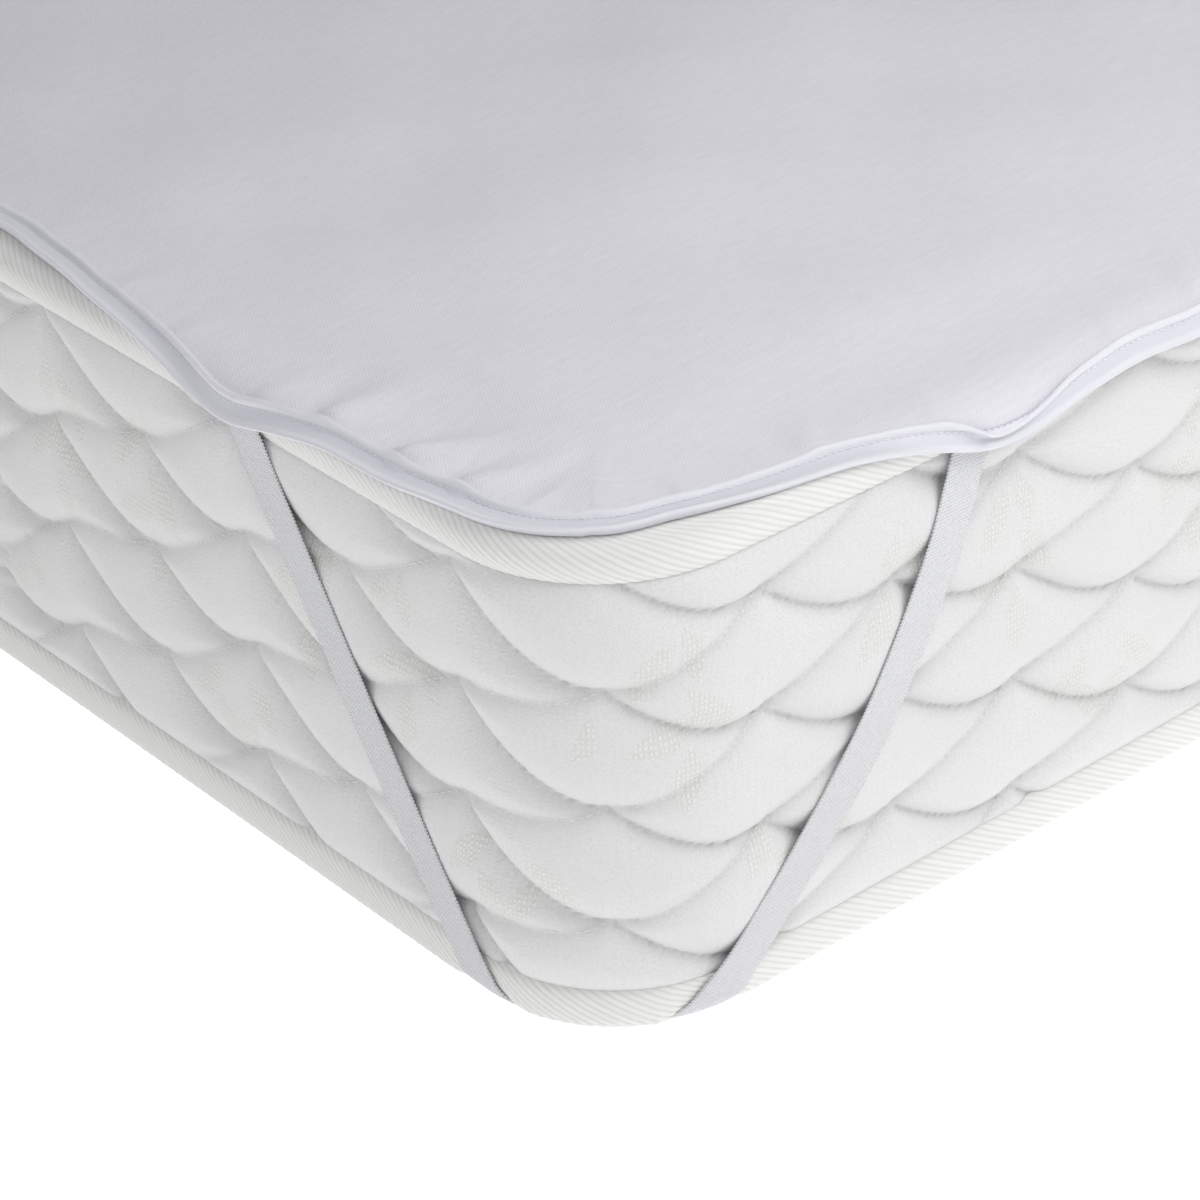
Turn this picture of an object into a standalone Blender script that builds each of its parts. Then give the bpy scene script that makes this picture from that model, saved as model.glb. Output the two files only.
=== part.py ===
"""Waterproof mattress protector, fitted on a plain single mattress.

A flat knitted sheet lies on the mattress and hangs a little over its rim. A folded tape binds its edge.
At each corner a flat elastic strap, sewn under the binding, runs down one side, under it and up again.
Metres, +Z up. The origin is on the floor, under the middle of the mattress, whose length runs along X.
"""

import math

import bmesh
import bpy
from mathutils import Vector

MM = 0.001
DOWN = Vector((0.0, 0.0, -1.0))

# The mattress, over its border between the two sewn tapes
LENGTH = 2.000
WIDTH = 0.900
CORNER_RADIUS = 0.062
CORNER_STEPS = 8

# Cloth pieces
SHEET_THICKNESS = 1.2 * MM
SHEET_TOP = 202.5 * MM
BINDING_WIDTH = 10.5 * MM
BINDING_THICKNESS = 0.8 * MM
STRAP_WIDTH = 17.5 * MM
STRAP_THICKNESS = 1.2 * MM
TAPE_THICKNESS = 1.0 * MM
SEWN_GAP = 0.4 * MM

# The cloth's turn over the rim is a superellipse. It starts TURN_START out from the border and ends
# TURN_REACH further out.
TURN_START = -18.0 * MM
TURN_REACH = 26.0 * MM
TURN_DROP = 21.0 * MM
TURN_POWER = 3.0

# How far the binding's lower edge lies along the turn, by the distance along the border from a corner.
# Both columns are in millimetres. Each corner uses these rows. The strap pulls the edge down where they peak.
EDGE_ON_SHORT_SIDE = {
    "distance": (0, 24, 52, 86, 122, 152, 164, 178, 192, 210, 228, 250, 274, 292, 316, 334, 437),
    "drop": (13.5, 16, 18.5, 22.5, 23, 28, 31, 33, 30.5, 26.5, 23.5, 20.5, 18, 15, 13, 10.5, 13),
}
EDGE_ON_LONG_SIDE = {
    "distance": (
        *(0, 12, 24, 38, 54, 70, 106, 122, 140, 154),
        *(166, 188, 206, 240, 272, 420, 560, 720, 870, 987),
    ),
    "drop": (
        *(13.5, 13, 10.5, 10.5, 14, 17.5, 21.5, 25, 29.5, 34.5),
        *(38.5, 39, 35, 31, 33, 25, 31, 22, 28, 24),
    ),
}
# The rows are averaged over these steps, so that the edge has no kinks
EDGE_SOFTENING = (-8.0, -4.0, 0.0, 4.0, 8.0)
# The corners differ less and less over this distance from the middle of a side
VARIETY_FADE = 120.0
# The other three corners differ a little from the first: a factor on the drop, and a shift along the edge
CORNER_VARIETY = ((1.0, 0.0), (0.92, 6.0), (1.05, -5.0), (0.88, 4.0))

# Rows of the sheet inwards from its cut edge: along the turn, then as shares of the way to the middle line
EDGE_ROWS = (2.4, 6.0, 10.5, 19.0, 30.0, 48.0)
MIDDLE_SHARES = (0.16, 0.42, 0.72)
# Columns of the sheet and the binding: a close step up to a distance from each corner, then a wide one
CLOTH_STATIONS = (21 * MM, 0.27, 0.075)
TAPE_STATIONS = (12 * MM, 0.084, 0.4)

# The straps, as the place of their middle line on the side faces. Millimetres from the middle of the corner.
STRAP_ON_SHORT_SIDE = {"height": (20, 100, 190), "distance": (60.0, 113.0, 171.5)}
STRAP_ON_LONG_SIDE = {
    "height": (20, 32, 62, 92, 122, 152, 190),
    "distance": (51.0, 62.5, 91.7, 115.4, 134.2, 148.6, 162.0),
}
STRAP_STANDOFF = {"height": (20, 45, 152, 172, 190), "out": (4.1, 5.0, 5.0, 4.6, 3.8)}
STRAP_HEIGHTS = (190, 182, 172, 152, 132, 112, 92, 72, 50, 35, 20)
# The strap's bend round the bottom tape, from the side face to the floor
STRAP_BEND = {"out": (3.7, 3.6, 3.0, 1.2, -2.5), "height": (12.5, 7.0, 3.2, 1.4, 1.0)}
STRAP_UNDER_HEIGHT = 1.0 * MM
STRAP_STEP = 8.0 * MM
STRAP_BEND_STEP = 1.8 * MM
STRAP_TURN = 26.0 * MM
# Round the bend the strap leans in by this share of how far it has come in from STRAP_LEAN_FROM
STRAP_LEAN = 0.9
STRAP_LEAN_FROM = 3.0
CHANNEL_DEPTH = 2.2 * MM
CHANNEL_SLACK = 5.0 * MM
CHANNEL_RUN_OUT = 0.060

# Sections of the mattress: outwards from the border face, and height. Millimetres.
TOP_TAPE = ((0.0, 184.7), (2.1, 187.3), (2.7, 190.3), (1.6, 194.5), (-2.0, 197.0), (-9.0, 198.3))
# The bottom tape's rows have a second place, where the strap draws the tape in round the corner
BOTTOM_TAPE = ((0.0, 17.3), (2.3, 14.9), (3.1, 10.0), (3.2, 3.6), (2.0, 1.2), (-7.0, 0.5))
BOTTOM_TAPE_DRAWN_IN = ((0.0, 17.3), (1.9, 14.9), (2.5, 9.0), (2.2, 4.6), (0.2, 2.3), (-7.0, 2.2))
DRAWN_IN_FROM = -74.0
DRAWN_IN_TO = 66.0
DRAWN_IN_FADE = 14.0
CORE = (
    (-9.0, 0.0),
    (-8.2, 3.7),
    (-1.8, 4.3),
    (-0.6, 8.5),
    (-1.2, 16.2),
    (0.0, 18.0),
    (2.0, 42.0),
    (3.0, 101.0),
    (2.0, 158.0),
    (0.0, 184.1),
    (-1.4, 185.7),
    (0.4, 190.3),
    (-0.4, 193.3),
    (-3.0, 195.4),
    (-10.2, 196.7),
    (-11.2, 198.4),
    (-34.0, 200.1),
    (-60.0, 200.8),
)

# Soft waves of the sheet on the mattress: middle x and y, half length and half width, turn in degrees, height
SHEET_WAVES = (
    (-0.72, -0.20, 0.26, 0.075, 38, 3.4),
    (-0.80, 0.10, 0.20, 0.070, -20, 2.6),
    (-0.38, 0.02, 0.24, 0.080, 25, 3.0),
    (-0.05, -0.22, 0.28, 0.070, -12, 2.4),
    (0.22, 0.16, 0.26, 0.085, 18, 3.2),
    (0.62, -0.10, 0.24, 0.075, -30, 2.8),
    (0.80, 0.20, 0.18, 0.070, 12, 2.2),
)
WAVES_START = 0.02
WAVES_FADE = 0.05


def clear_scene():
    for obj in list(bpy.data.objects):
        bpy.data.objects.remove(obj, do_unlink=True)


def new_collection(name):
    collection = bpy.data.collections.new(name)
    bpy.context.scene.collection.children.link(collection)
    return collection


def material(name, color, roughness):
    mat = bpy.data.materials.new(name)
    mat.use_nodes = True
    shader = mat.node_tree.nodes["Principled BSDF"]
    shader.inputs["Base Color"].default_value = (*color, 1.0)
    shader.inputs["Roughness"].default_value = roughness
    shader.inputs["Metallic"].default_value = 0.0
    return mat


def look_up(table, key_column, value_column, key):
    """Straight-line look-up in a table with named columns."""
    keys = table[key_column]
    values = table[value_column]
    if key <= keys[0]:
        return values[0]
    for k0, k1, v0, v1 in zip(keys, keys[1:], values, values[1:]):
        if key <= k1:
            return v0 + (v1 - v0) * (key - k0) / (k1 - k0)
    return values[-1]


def smooth(x):
    x = min(max(x, 0.0), 1.0)
    return x * x * (3.0 - 2.0 * x)


# The border's outline is a rounded rectangle. A place on it is a corner (0 to 3, anticlockwise from the one
# at -X, -Y) and a distance from that corner's middle, positive anticlockwise.
QUARTER_ARC = CORNER_RADIUS * math.pi / 4
LONG_HALF = LENGTH / 2 - CORNER_RADIUS + QUARTER_ARC
SHORT_HALF = WIDTH / 2 - CORNER_RADIUS + QUARTER_ARC
CORNER_CENTRES = [
    Vector((sx * (LENGTH / 2 - CORNER_RADIUS), sy * (WIDTH / 2 - CORNER_RADIUS), 0.0))
    for sx, sy in ((-1, -1), (1, -1), (1, 1), (-1, 1))
]


def on_border(corner, distance, out, height):
    """The point and the outward direction at a place on the border, moved out and up."""
    middle_angle = math.radians(225 + 90 * corner)
    angle = min(max(distance, -QUARTER_ARC), QUARTER_ARC) / CORNER_RADIUS
    beyond = distance - angle * CORNER_RADIUS
    facing = Vector((math.cos(middle_angle + angle), math.sin(middle_angle + angle), 0.0))
    along = Vector((-facing.y, facing.x, 0.0))
    point = CORNER_CENTRES[corner] + facing * (CORNER_RADIUS + out) + along * beyond
    point.z = height
    return point, facing


def half_sides(corner):
    """How far the border runs back and on from a corner's middle to the middle of each side."""
    return (SHORT_HALF, LONG_HALF) if corner % 2 == 0 else (LONG_HALF, SHORT_HALF)


def stations(near_step, near_reach, far_step):
    """Places right round the border, close together near the corners and the same on opposite sides."""
    places = []
    for corner in range(4):
        back, on = half_sides(corner)
        for side, half in ((-1, back), (1, on)):
            near_count = max(1, round(near_reach / near_step))
            far_count = max(1, round((half - near_reach) / far_step))
            near = [near_reach * i / near_count for i in range(near_count)]
            far = [near_reach + (half - near_reach) * i / far_count for i in range(far_count)]
            distances = near + far
            if side < 0:
                distances = [-d for d in reversed(distances[1:])]
                distances.insert(0, -half)
            places += [(corner, d) for d in distances]
    return places


def turn_profile(steps=240):
    """Arc length, place outwards and height along the cloth's turn over the rim."""
    rows = []
    length = 0.0
    previous = None
    for i in range(steps + 1):
        angle = math.pi / 2 * i / steps
        out = TURN_START + TURN_REACH * math.sin(angle) ** (2 / TURN_POWER)
        height = SHEET_TOP - TURN_DROP + TURN_DROP * max(math.cos(angle), 0.0) ** (2 / TURN_POWER)
        if previous:
            length += math.hypot(out - previous[0], height - previous[1])
        previous = (out, height)
        rows.append((length, out, height))
    return rows


TURN_ROWS = turn_profile()
TURN = {
    "along": [row[0] for row in TURN_ROWS],
    "out": [row[1] for row in TURN_ROWS],
    "height": [row[2] for row in TURN_ROWS],
}
TURN_LENGTH = TURN["along"][-1]


def on_turn(along):
    """Outwards and up at a length along the turn, which runs on flat before it and straight down after it."""
    if along < 0:
        return TURN_START + along, SHEET_TOP
    if along > TURN_LENGTH:
        return TURN_START + TURN_REACH, SHEET_TOP - TURN_DROP - (along - TURN_LENGTH)
    return look_up(TURN, "along", "out", along), look_up(TURN, "along", "height", along)


def cloth_point(corner, distance, along, lift):
    """A point at a length along the turn, lifted square off the cloth's upper face."""
    small = 0.5 * MM
    out0, height0 = on_turn(along - small)
    out1, height1 = on_turn(along + small)
    out, height = on_turn(along)
    slope = math.hypot(out1 - out0, height1 - height0)
    out_off = -(height1 - height0) / slope
    up_off = (out1 - out0) / slope
    return on_border(corner, distance, out + out_off * lift, height + up_off * lift)[0]


def edge_drop(corner, distance):
    """Length along the turn of the binding's lower edge."""
    factor, shift = CORNER_VARIETY[corner]
    back, on = half_sides(corner)
    half = back if distance < 0 else on
    table = EDGE_ON_SHORT_SIDE if half == SHORT_HALF else EDGE_ON_LONG_SIDE
    away = abs(distance) / MM
    fade = smooth((half / MM - away) / VARIETY_FADE)
    place = away + shift * fade * smooth(away / VARIETY_FADE)
    near = [look_up(table, "distance", "drop", abs(place + step)) for step in EDGE_SOFTENING]
    own = sum(near) / len(near)
    mean = table["drop"][-1]
    return (mean + (own - mean) * (1 + (factor - 1) * fade)) * MM


def sheet_wave(x, y):
    total = 0.0
    for mid_x, mid_y, half_length, half_width, turn, height in SHEET_WAVES:
        c = math.cos(math.radians(turn))
        s = math.sin(math.radians(turn))
        u = ((x - mid_x) * c + (y - mid_y) * s) / half_length
        v = ((y - mid_y) * c - (x - mid_x) * s) / half_width
        total += height * MM * math.exp(-(u * u + v * v))
    inward = min(LENGTH / 2 - abs(x), WIDTH / 2 - abs(y))
    return total * smooth((inward - WAVES_START) / WAVES_FADE)


def mesh_object(name, bm, mat, collection):
    mesh = bpy.data.meshes.new(name)
    bm.to_mesh(mesh)
    bm.free()
    mesh.materials.append(mat)
    obj = bpy.data.objects.new(name, mesh)
    collection.objects.link(obj)
    mesh.shade_smooth()
    mesh.set_sharp_from_angle(angle=math.radians(50))
    return obj


def skin(rows, closed_rows, closed_columns, turned_splits=None):
    """A surface through rows of points. Each row has as many points as the next.

    With turned_splits, the faces are split into triangles from their first corner, or from their second one in
    the columns that it names, so that two surfaces over each other are split alike.
    """
    bm = bmesh.new()
    grid = [[bm.verts.new(point) for point in row] for row in rows]
    row_pairs = list(zip(grid, grid[1:]))
    if closed_rows:
        row_pairs.append((grid[-1], grid[0]))
    for row, following in row_pairs:
        column_count = len(row) if closed_columns else len(row) - 1
        for i in range(column_count):
            j = (i + 1) % len(row)
            if turned_splits is None:
                bm.faces.new((row[i], row[j], following[j], following[i]))
            elif i in turned_splits:
                bm.faces.new((row[i], row[j], following[i]))
                bm.faces.new((row[j], following[j], following[i]))
            else:
                bm.faces.new((row[i], row[j], following[j]))
                bm.faces.new((row[i], following[j], following[i]))
    return bm, grid


def merge_and_face_out(bm, distance=0.01 * MM):
    bmesh.ops.remove_doubles(bm, verts=bm.verts, dist=distance)
    bmesh.ops.dissolve_degenerate(bm, edges=bm.edges, dist=distance)
    bmesh.ops.recalc_face_normals(bm, faces=bm.faces)


def face_outwards(obj):
    """Turns an open ring's faces so that they look away from the middle of the mattress."""
    mesh = obj.data
    total = 0.0
    for polygon in mesh.polygons:
        place = polygon.center - Vector((0.0, 0.0, SHEET_TOP / 2))
        total += polygon.normal.dot(place) * polygon.area
    if total < 0:
        mesh.flip_normals()


def thicken(obj, thickness, offset):
    solid = obj.modifiers.new("Thickness", "SOLIDIFY")
    solid.thickness = thickness
    solid.offset = offset
    solid.use_even_offset = True
    solid.use_quality_normals = True


# Mattress core: the padded border and the two panels as one plain body


def build_core(collection, mat):
    places = stations(QUARTER_ARC * 2 / CORNER_STEPS, QUARTER_ARC, LENGTH)
    rows = [[on_border(c, d, out * MM, up * MM)[0] for c, d in places] for out, up in CORE]
    bm, grid = skin(rows, closed_rows=False, closed_columns=True)
    bm.faces.new(grid[0])
    bm.faces.new(grid[-1])
    merge_and_face_out(bm)
    return mesh_object("mattress", bm, mat, collection)


# Tapes: a woven strip sewn over each rim of the mattress


def build_tape(name, collection, mat, rows, drawn_in_rows):
    places = stations(*TAPE_STATIONS)

    def section(corner, distance):
        short_side_first = corner % 2 == 0
        signed = distance / MM if short_side_first else -distance / MM
        inside = min(signed - DRAWN_IN_FROM, DRAWN_IN_TO - signed)
        share = smooth((inside + DRAWN_IN_FADE) / DRAWN_IN_FADE)
        for (out, up), (out_in, up_in) in zip(rows, drawn_in_rows):
            moved_out = (out + (out_in - out) * share) * MM
            moved_up = (up + (up_in - up) * share) * MM
            yield on_border(corner, distance, moved_out, moved_up)[0]

    bm, _ = skin([list(section(c, d)) for c, d in places], closed_rows=True, closed_columns=False)
    merge_and_face_out(bm)
    obj = mesh_object(name, bm, mat, collection)
    face_outwards(obj)
    thicken(obj, TAPE_THICKNESS, -1.0)


# Protector: the knitted sheet, the binding round its edge, and the four corner straps


def build_sheet(collection, mat):
    places = stations(*CLOTH_STATIONS)
    rows = []
    for row in EDGE_ROWS:
        line = []
        for corner, distance in places:
            point = cloth_point(corner, distance, edge_drop(corner, distance) - row * MM, 0.0)
            point.z += sheet_wave(point.x, point.y)
            line.append(point)
        rows.append(line)
    inner = rows[-1]
    middle_x = (LENGTH - WIDTH) / 2
    for share in MIDDLE_SHARES + (1.0,):
        line = []
        for point, (corner, distance) in zip(inner, places):
            nominal = on_border(corner, distance, 0.0, 0.0)[0]
            target = Vector((min(max(nominal.x, -middle_x), middle_x), 0.0, SHEET_TOP))
            moved = point.lerp(target, share)
            moved.z = SHEET_TOP + sheet_wave(moved.x, moved.y)
            line.append(moved)
        rows.append(line)
    bm, _ = skin(rows, closed_rows=False, closed_columns=True, turned_splits=())
    merge_and_face_out(bm)
    obj = mesh_object("protector_sheet", bm, mat, collection)
    face_outwards(obj)
    thicken(obj, SHEET_THICKNESS, -1.0)
    return obj


def build_binding(collection, mat):
    places = stations(*CLOTH_STATIONS)
    outer = SEWN_GAP + BINDING_THICKNESS / 2
    inner = -SHEET_THICKNESS - outer
    fold_depth = (outer - inner) / 2
    width = BINDING_WIDTH / MM
    # Rows of the folded tape: back from its lower edge, and off the sheet's upper face
    fold = (
        (width, outer),
        (EDGE_ROWS[1], outer),
        (EDGE_ROWS[0], outer),
        (BINDING_THICKNESS / 2 / MM, outer - fold_depth),
        (EDGE_ROWS[0], inner),
        (EDGE_ROWS[1], inner),
        (width, inner - SEWN_GAP),
    )
    rows = []
    for corner, distance in places:
        edge = edge_drop(corner, distance)
        line = []
        for back, lift in fold:
            point = cloth_point(corner, distance, edge - back * MM, lift)
            point.z += sheet_wave(point.x, point.y)
            line.append(point)
        rows.append(line)
    outer_leg = range(len(fold) // 2)
    bm, _ = skin(rows, closed_rows=True, closed_columns=False, turned_splits=outer_leg)
    merge_and_face_out(bm)
    obj = mesh_object("edge_binding", bm, mat, collection)
    thicken(obj, BINDING_THICKNESS, 0.0)
    return obj


def strap_route(corner):
    """The points of the strap's middle line, down one side, under the corner and up the other side."""
    tables = [STRAP_ON_SHORT_SIDE, STRAP_ON_LONG_SIDE]
    if corner % 2 == 1:
        tables.reverse()
    sides = []
    for sign, table in zip((-1, 1), tables):
        rise = table["height"][1] - table["height"][0]
        slope = (table["distance"][1] - table["distance"][0]) / rise
        side = []
        for height in STRAP_HEIGHTS:
            distance = look_up(table, "height", "distance", height)
            out = look_up(STRAP_STANDOFF, "height", "out", height)
            side.append(on_border(corner, sign * distance * MM, out * MM, height * MM)[0])
        for out, height in zip(STRAP_BEND["out"], STRAP_BEND["height"]):
            lean = max(0.0, STRAP_LEAN_FROM - out) * STRAP_LEAN
            distance = table["distance"][0] - slope * (table["height"][0] - height) - lean
            side.append(on_border(corner, sign * distance * MM, out * MM, height * MM)[0])
        sides.append(side)
    down, up = sides
    up = list(reversed(up))
    under = [down[-1].lerp(up[0], share) for share in (0.25, 0.5, 0.75)]
    return down + under + up


def evenly(points, step, bend_step):
    """Points at even steps along a smooth curve through others, closer together round the bottom tape."""
    fine = []
    padded = [points[0] * 2 - points[1]] + points + [points[-1] * 2 - points[-2]]
    for p0, p1, p2, p3 in zip(padded, padded[1:], padded[2:], padded[3:]):
        for i in range(12):
            t = i / 12
            fine.append(
                0.5 * (2 * p1 + (p2 - p0) * t + (2 * p0 - 5 * p1 + 4 * p2 - p3) * t**2)
                + 0.5 * (3 * p1 - p0 - 3 * p2 + p3) * t**3
            )
    fine.append(points[-1])
    steps = [0.0]
    for a, b in zip(fine, fine[1:]):
        in_bend = STRAP_UNDER_HEIGHT * 1.05 < a.z < STRAP_BEND["height"][0] * MM
        steps.append(steps[-1] + (b - a).length / (bend_step if in_bend else step))
    count = round(steps[-1])
    result = []
    index = 0
    for i in range(count + 1):
        wanted = steps[-1] * i / count
        while index < len(steps) - 2 and steps[index + 1] < wanted:
            index += 1
        share = (wanted - steps[index]) / (steps[index + 1] - steps[index])
        result.append(fine[index].lerp(fine[index + 1], share))
    return result


def ribbon(corner, width):
    """Pairs of points on the two edges of a flat ribbon that follows the strap's route.

    A row lies level on the side faces and round the tape, so that the ribbon folds along the mattress's edge.
    Under the corner the rows turn until they are square to the route.
    """
    line = evenly(strap_route(corner), STRAP_STEP, STRAP_BEND_STEP)
    under = [point for point in line if point.z < STRAP_UNDER_HEIGHT * 1.06]
    rows = []
    for i, point in enumerate(line):
        before = line[max(i - 1, 0)]
        after = line[min(i + 1, len(line) - 1)]
        tangent = (after - before).normalized()
        # The side that the point lies on, from the nearest of many places on the border
        places = (on_border(corner, step * 4 * MM, 0.0, point.z) for step in range(-50, 51))
        facing = min(places, key=lambda place: (place[0] - point).length)[1]
        level = facing.cross(DOWN)
        if level.dot(tangent.cross(facing + DOWN)) < 0:
            level = -level
        away = min((point - under[0]).length, (point - under[-1]).length)
        turn = smooth(away / STRAP_TURN) if point in under else 0.0
        across = level.lerp(tangent.cross(DOWN).normalized(), turn).normalized()
        across = across / tangent.cross(across).length
        rows.append([point + across * width * share for share in (-0.5, 0.5)])
    return rows


def build_strap(corner, collection, mat):
    bm, _ = skin(ribbon(corner, STRAP_WIDTH), closed_rows=False, closed_columns=False)
    merge_and_face_out(bm)
    obj = mesh_object(f"corner_strap_{corner + 1}", bm, mat, collection)
    thicken(obj, STRAP_THICKNESS, 0.0)
    return obj


def cut_strap_channel(core, corner, cutters):
    """A shallow channel under the mattress, where its own weight presses the foam over the strap."""
    under = [point for point in strap_route(corner) if point.z < STRAP_UNDER_HEIGHT * 1.05]
    middle = (under[0] + under[-1]) / 2
    span = under[-1] - under[0]
    bpy.ops.mesh.primitive_cube_add(size=1.0)
    cutter = bpy.context.object
    cutter.name = f"channel_cutter_{corner + 1}"
    for collection in list(cutter.users_collection):
        collection.objects.unlink(cutter)
    cutters.objects.link(cutter)
    cutter.scale = (span.length + CHANNEL_RUN_OUT, STRAP_WIDTH + CHANNEL_SLACK, CHANNEL_DEPTH * 2)
    cutter.rotation_euler = (0.0, 0.0, math.atan2(span.y, span.x))
    cutter.location = (middle.x, middle.y, 0.0)
    cutter.hide_render = True
    cutter.display_type = "WIRE"
    cut = core.modifiers.new(f"Channel {corner + 1}", "BOOLEAN")
    cut.operation = "DIFFERENCE"
    cut.solver = "EXACT"
    cut.object = cutter


def main():
    clear_scene()
    parts = new_collection("mattress_protector_on_mattress")
    cutters = new_collection("cutters")
    border_cloth = material("border_cloth", (0.70, 0.70, 0.69), 0.85)
    tape_cloth = material("tape_cloth", (0.74, 0.74, 0.71), 0.8)
    knit = material("knit", (0.68, 0.68, 0.73), 0.85)
    satin_tape = material("satin_tape", (0.75, 0.75, 0.80), 0.6)
    elastic = material("elastic", (0.60, 0.60, 0.63), 0.75)

    core = build_core(parts, border_cloth)
    build_tape("mattress_tape_top", parts, tape_cloth, TOP_TAPE, TOP_TAPE)
    build_tape("mattress_tape_bottom", parts, tape_cloth, BOTTOM_TAPE, BOTTOM_TAPE_DRAWN_IN)
    build_sheet(parts, knit)
    build_binding(parts, satin_tape)
    for corner in range(4):
        build_strap(corner, parts, elastic)
        cut_strap_channel(core, corner, cutters)


main()
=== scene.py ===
"""The look of a waterproof mattress protector on its mattress, with its cloth, light and camera.

Metres, +Z up. The camera looks at the corner at -X, -Y, where the meshes are finest.
"""

import math

import bmesh
import bpy
import numpy as np
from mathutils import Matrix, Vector, kdtree


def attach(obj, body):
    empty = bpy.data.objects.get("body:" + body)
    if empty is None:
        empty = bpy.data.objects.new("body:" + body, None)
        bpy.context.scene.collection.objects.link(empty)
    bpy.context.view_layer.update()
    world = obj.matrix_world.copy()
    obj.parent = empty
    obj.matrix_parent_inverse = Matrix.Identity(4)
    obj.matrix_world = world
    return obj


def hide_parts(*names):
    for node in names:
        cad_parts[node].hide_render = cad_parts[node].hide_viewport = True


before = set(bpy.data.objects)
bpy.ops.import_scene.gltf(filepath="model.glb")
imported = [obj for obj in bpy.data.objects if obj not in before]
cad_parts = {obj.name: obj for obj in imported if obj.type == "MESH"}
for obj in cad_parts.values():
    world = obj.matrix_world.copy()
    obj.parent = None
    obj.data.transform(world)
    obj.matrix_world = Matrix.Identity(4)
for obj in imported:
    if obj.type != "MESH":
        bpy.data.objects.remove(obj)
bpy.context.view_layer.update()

# Camera and studio: a long lens looks down at one corner. The floor is pale, a large soft box hangs to the
# right of the camera, a weak one to its left, and another behind the mattress.
AZIMUTH, ELEVATION, ROLL = (math.radians(angle) for angle in (-39.13, 31.563, -2.482))
CAMERA_DISTANCE = 1.3224
CORNER_POINT = Vector((-1.0, -0.45, 0.1025))
AIM_RIGHT, AIM_UP = 0.00234, 0.078
FOCAL_LENGTH = 118.058


def add_object(name, data):
    obj = bpy.data.objects.new(name, data)
    bpy.context.scene.collection.objects.link(obj)
    return obj


back = Vector(
    (
        math.sin(AZIMUTH) * math.cos(ELEVATION),
        -math.cos(AZIMUTH) * math.cos(ELEVATION),
        math.sin(ELEVATION),
    )
)
level = Vector((0.0, 0.0, 1.0)).cross(back).normalized()
upright = back.cross(level)
right = level * math.cos(ROLL) + upright * math.sin(ROLL)
up = upright * math.cos(ROLL) - level * math.sin(ROLL)
place = CORNER_POINT + back * CAMERA_DISTANCE + right * AIM_RIGHT + up * AIM_UP
camera = add_object("camera", bpy.data.cameras.new("camera"))
camera.data.sensor_width = 36.0
camera.data.lens = FOCAL_LENGTH
camera.data.clip_end = 50.0
camera.matrix_world = [
    [right[0], right[1], right[2], 0.0],
    [up[0], up[1], up[2], 0.0],
    [back[0], back[1], back[2], 0.0],
    [place[0], place[1], place[2], 1.0],
]
bpy.context.scene.camera = camera
bpy.context.scene.view_settings.view_transform = "Standard"


def hang_soft_box(name, place, aim, size, power):
    light = bpy.data.lights.new(name, "AREA")
    light.shape = "RECTANGLE"
    light.size, light.size_y = size
    light.energy = power
    lamp = add_object(name, light)
    lamp.visible_camera = False
    lamp.location = place
    lamp.rotation_euler = (Vector(aim) - Vector(place)).to_track_quat("-Z", "Y").to_euler()


hang_soft_box("soft_box_right", (-0.45, -0.95, 1.05), (-0.90, -0.35, 0.15), (0.9, 0.8), 7.6)
hang_soft_box("soft_box_behind", (-0.3, 2.2, 1.7), (-0.7, 0.0, 0.2), (2.2, 1.2), 3.6)
hang_soft_box("soft_box_left", (-1.5, -0.65, 0.8), (-0.95, -0.30, 0.15), (0.6, 0.5), 1.5)

studio = bpy.data.worlds.new("studio")
studio.use_nodes = True
bpy.context.scene.world = studio
walls = studio.node_tree.nodes["Background"]
walls.inputs["Color"].default_value = (0.97, 0.98, 1.0, 1.0)
walls.inputs["Strength"].default_value = 0.38


def new_material(name):
    """A material, and its node tree."""
    mat = bpy.data.materials.new(name)
    mat.use_nodes = True
    return mat, mat.node_tree


def set_inputs(tree, node, inputs):
    """Links the inputs that are given as another node's output, and sets those that are given as values."""
    for name, value in inputs.items():
        if isinstance(value, bpy.types.NodeSocket):
            tree.links.new(value, node.inputs[name])
        else:
            node.inputs[name].default_value = value


def shade(tree, inputs):
    """Gives a material's shader its colour, relief and other inputs."""
    set_inputs(tree, tree.nodes["Principled BSDF"], inputs)


bpy.ops.mesh.primitive_plane_add(size=30.0)
floor = bpy.context.object
floor.name = "floor"
floor_paper, paper_tree = new_material("pale_paper")
shade(paper_tree, {"Base Color": (0.80, 0.80, 0.80, 1.0), "Roughness": 0.9})
# A lit table: the white paper shines and lights the sides of the mattress from below
shade(paper_tree, {"Emission Color": (1.0, 1.0, 1.0, 1.0), "Emission Strength": 0.68})
floor.data.materials.append(floor_paper)

# Mattress: foam and springs in an off-white stretch knit. The two panels are plain. The border is quilted
# in staggered rows of scales, each sewn down along a steep seam and a flat one.
MM = 0.001
LENGTH, WIDTH, RADIUS = 2.0, 0.9, 0.062
QUARTER_ARC = RADIUS * math.pi / 4
LONG_HALF = LENGTH / 2 - RADIUS + QUARTER_ARC
SHORT_HALF = WIDTH / 2 - RADIUS + QUARTER_ARC
AROUND = 4 * (LONG_HALF + SHORT_HALF)
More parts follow.
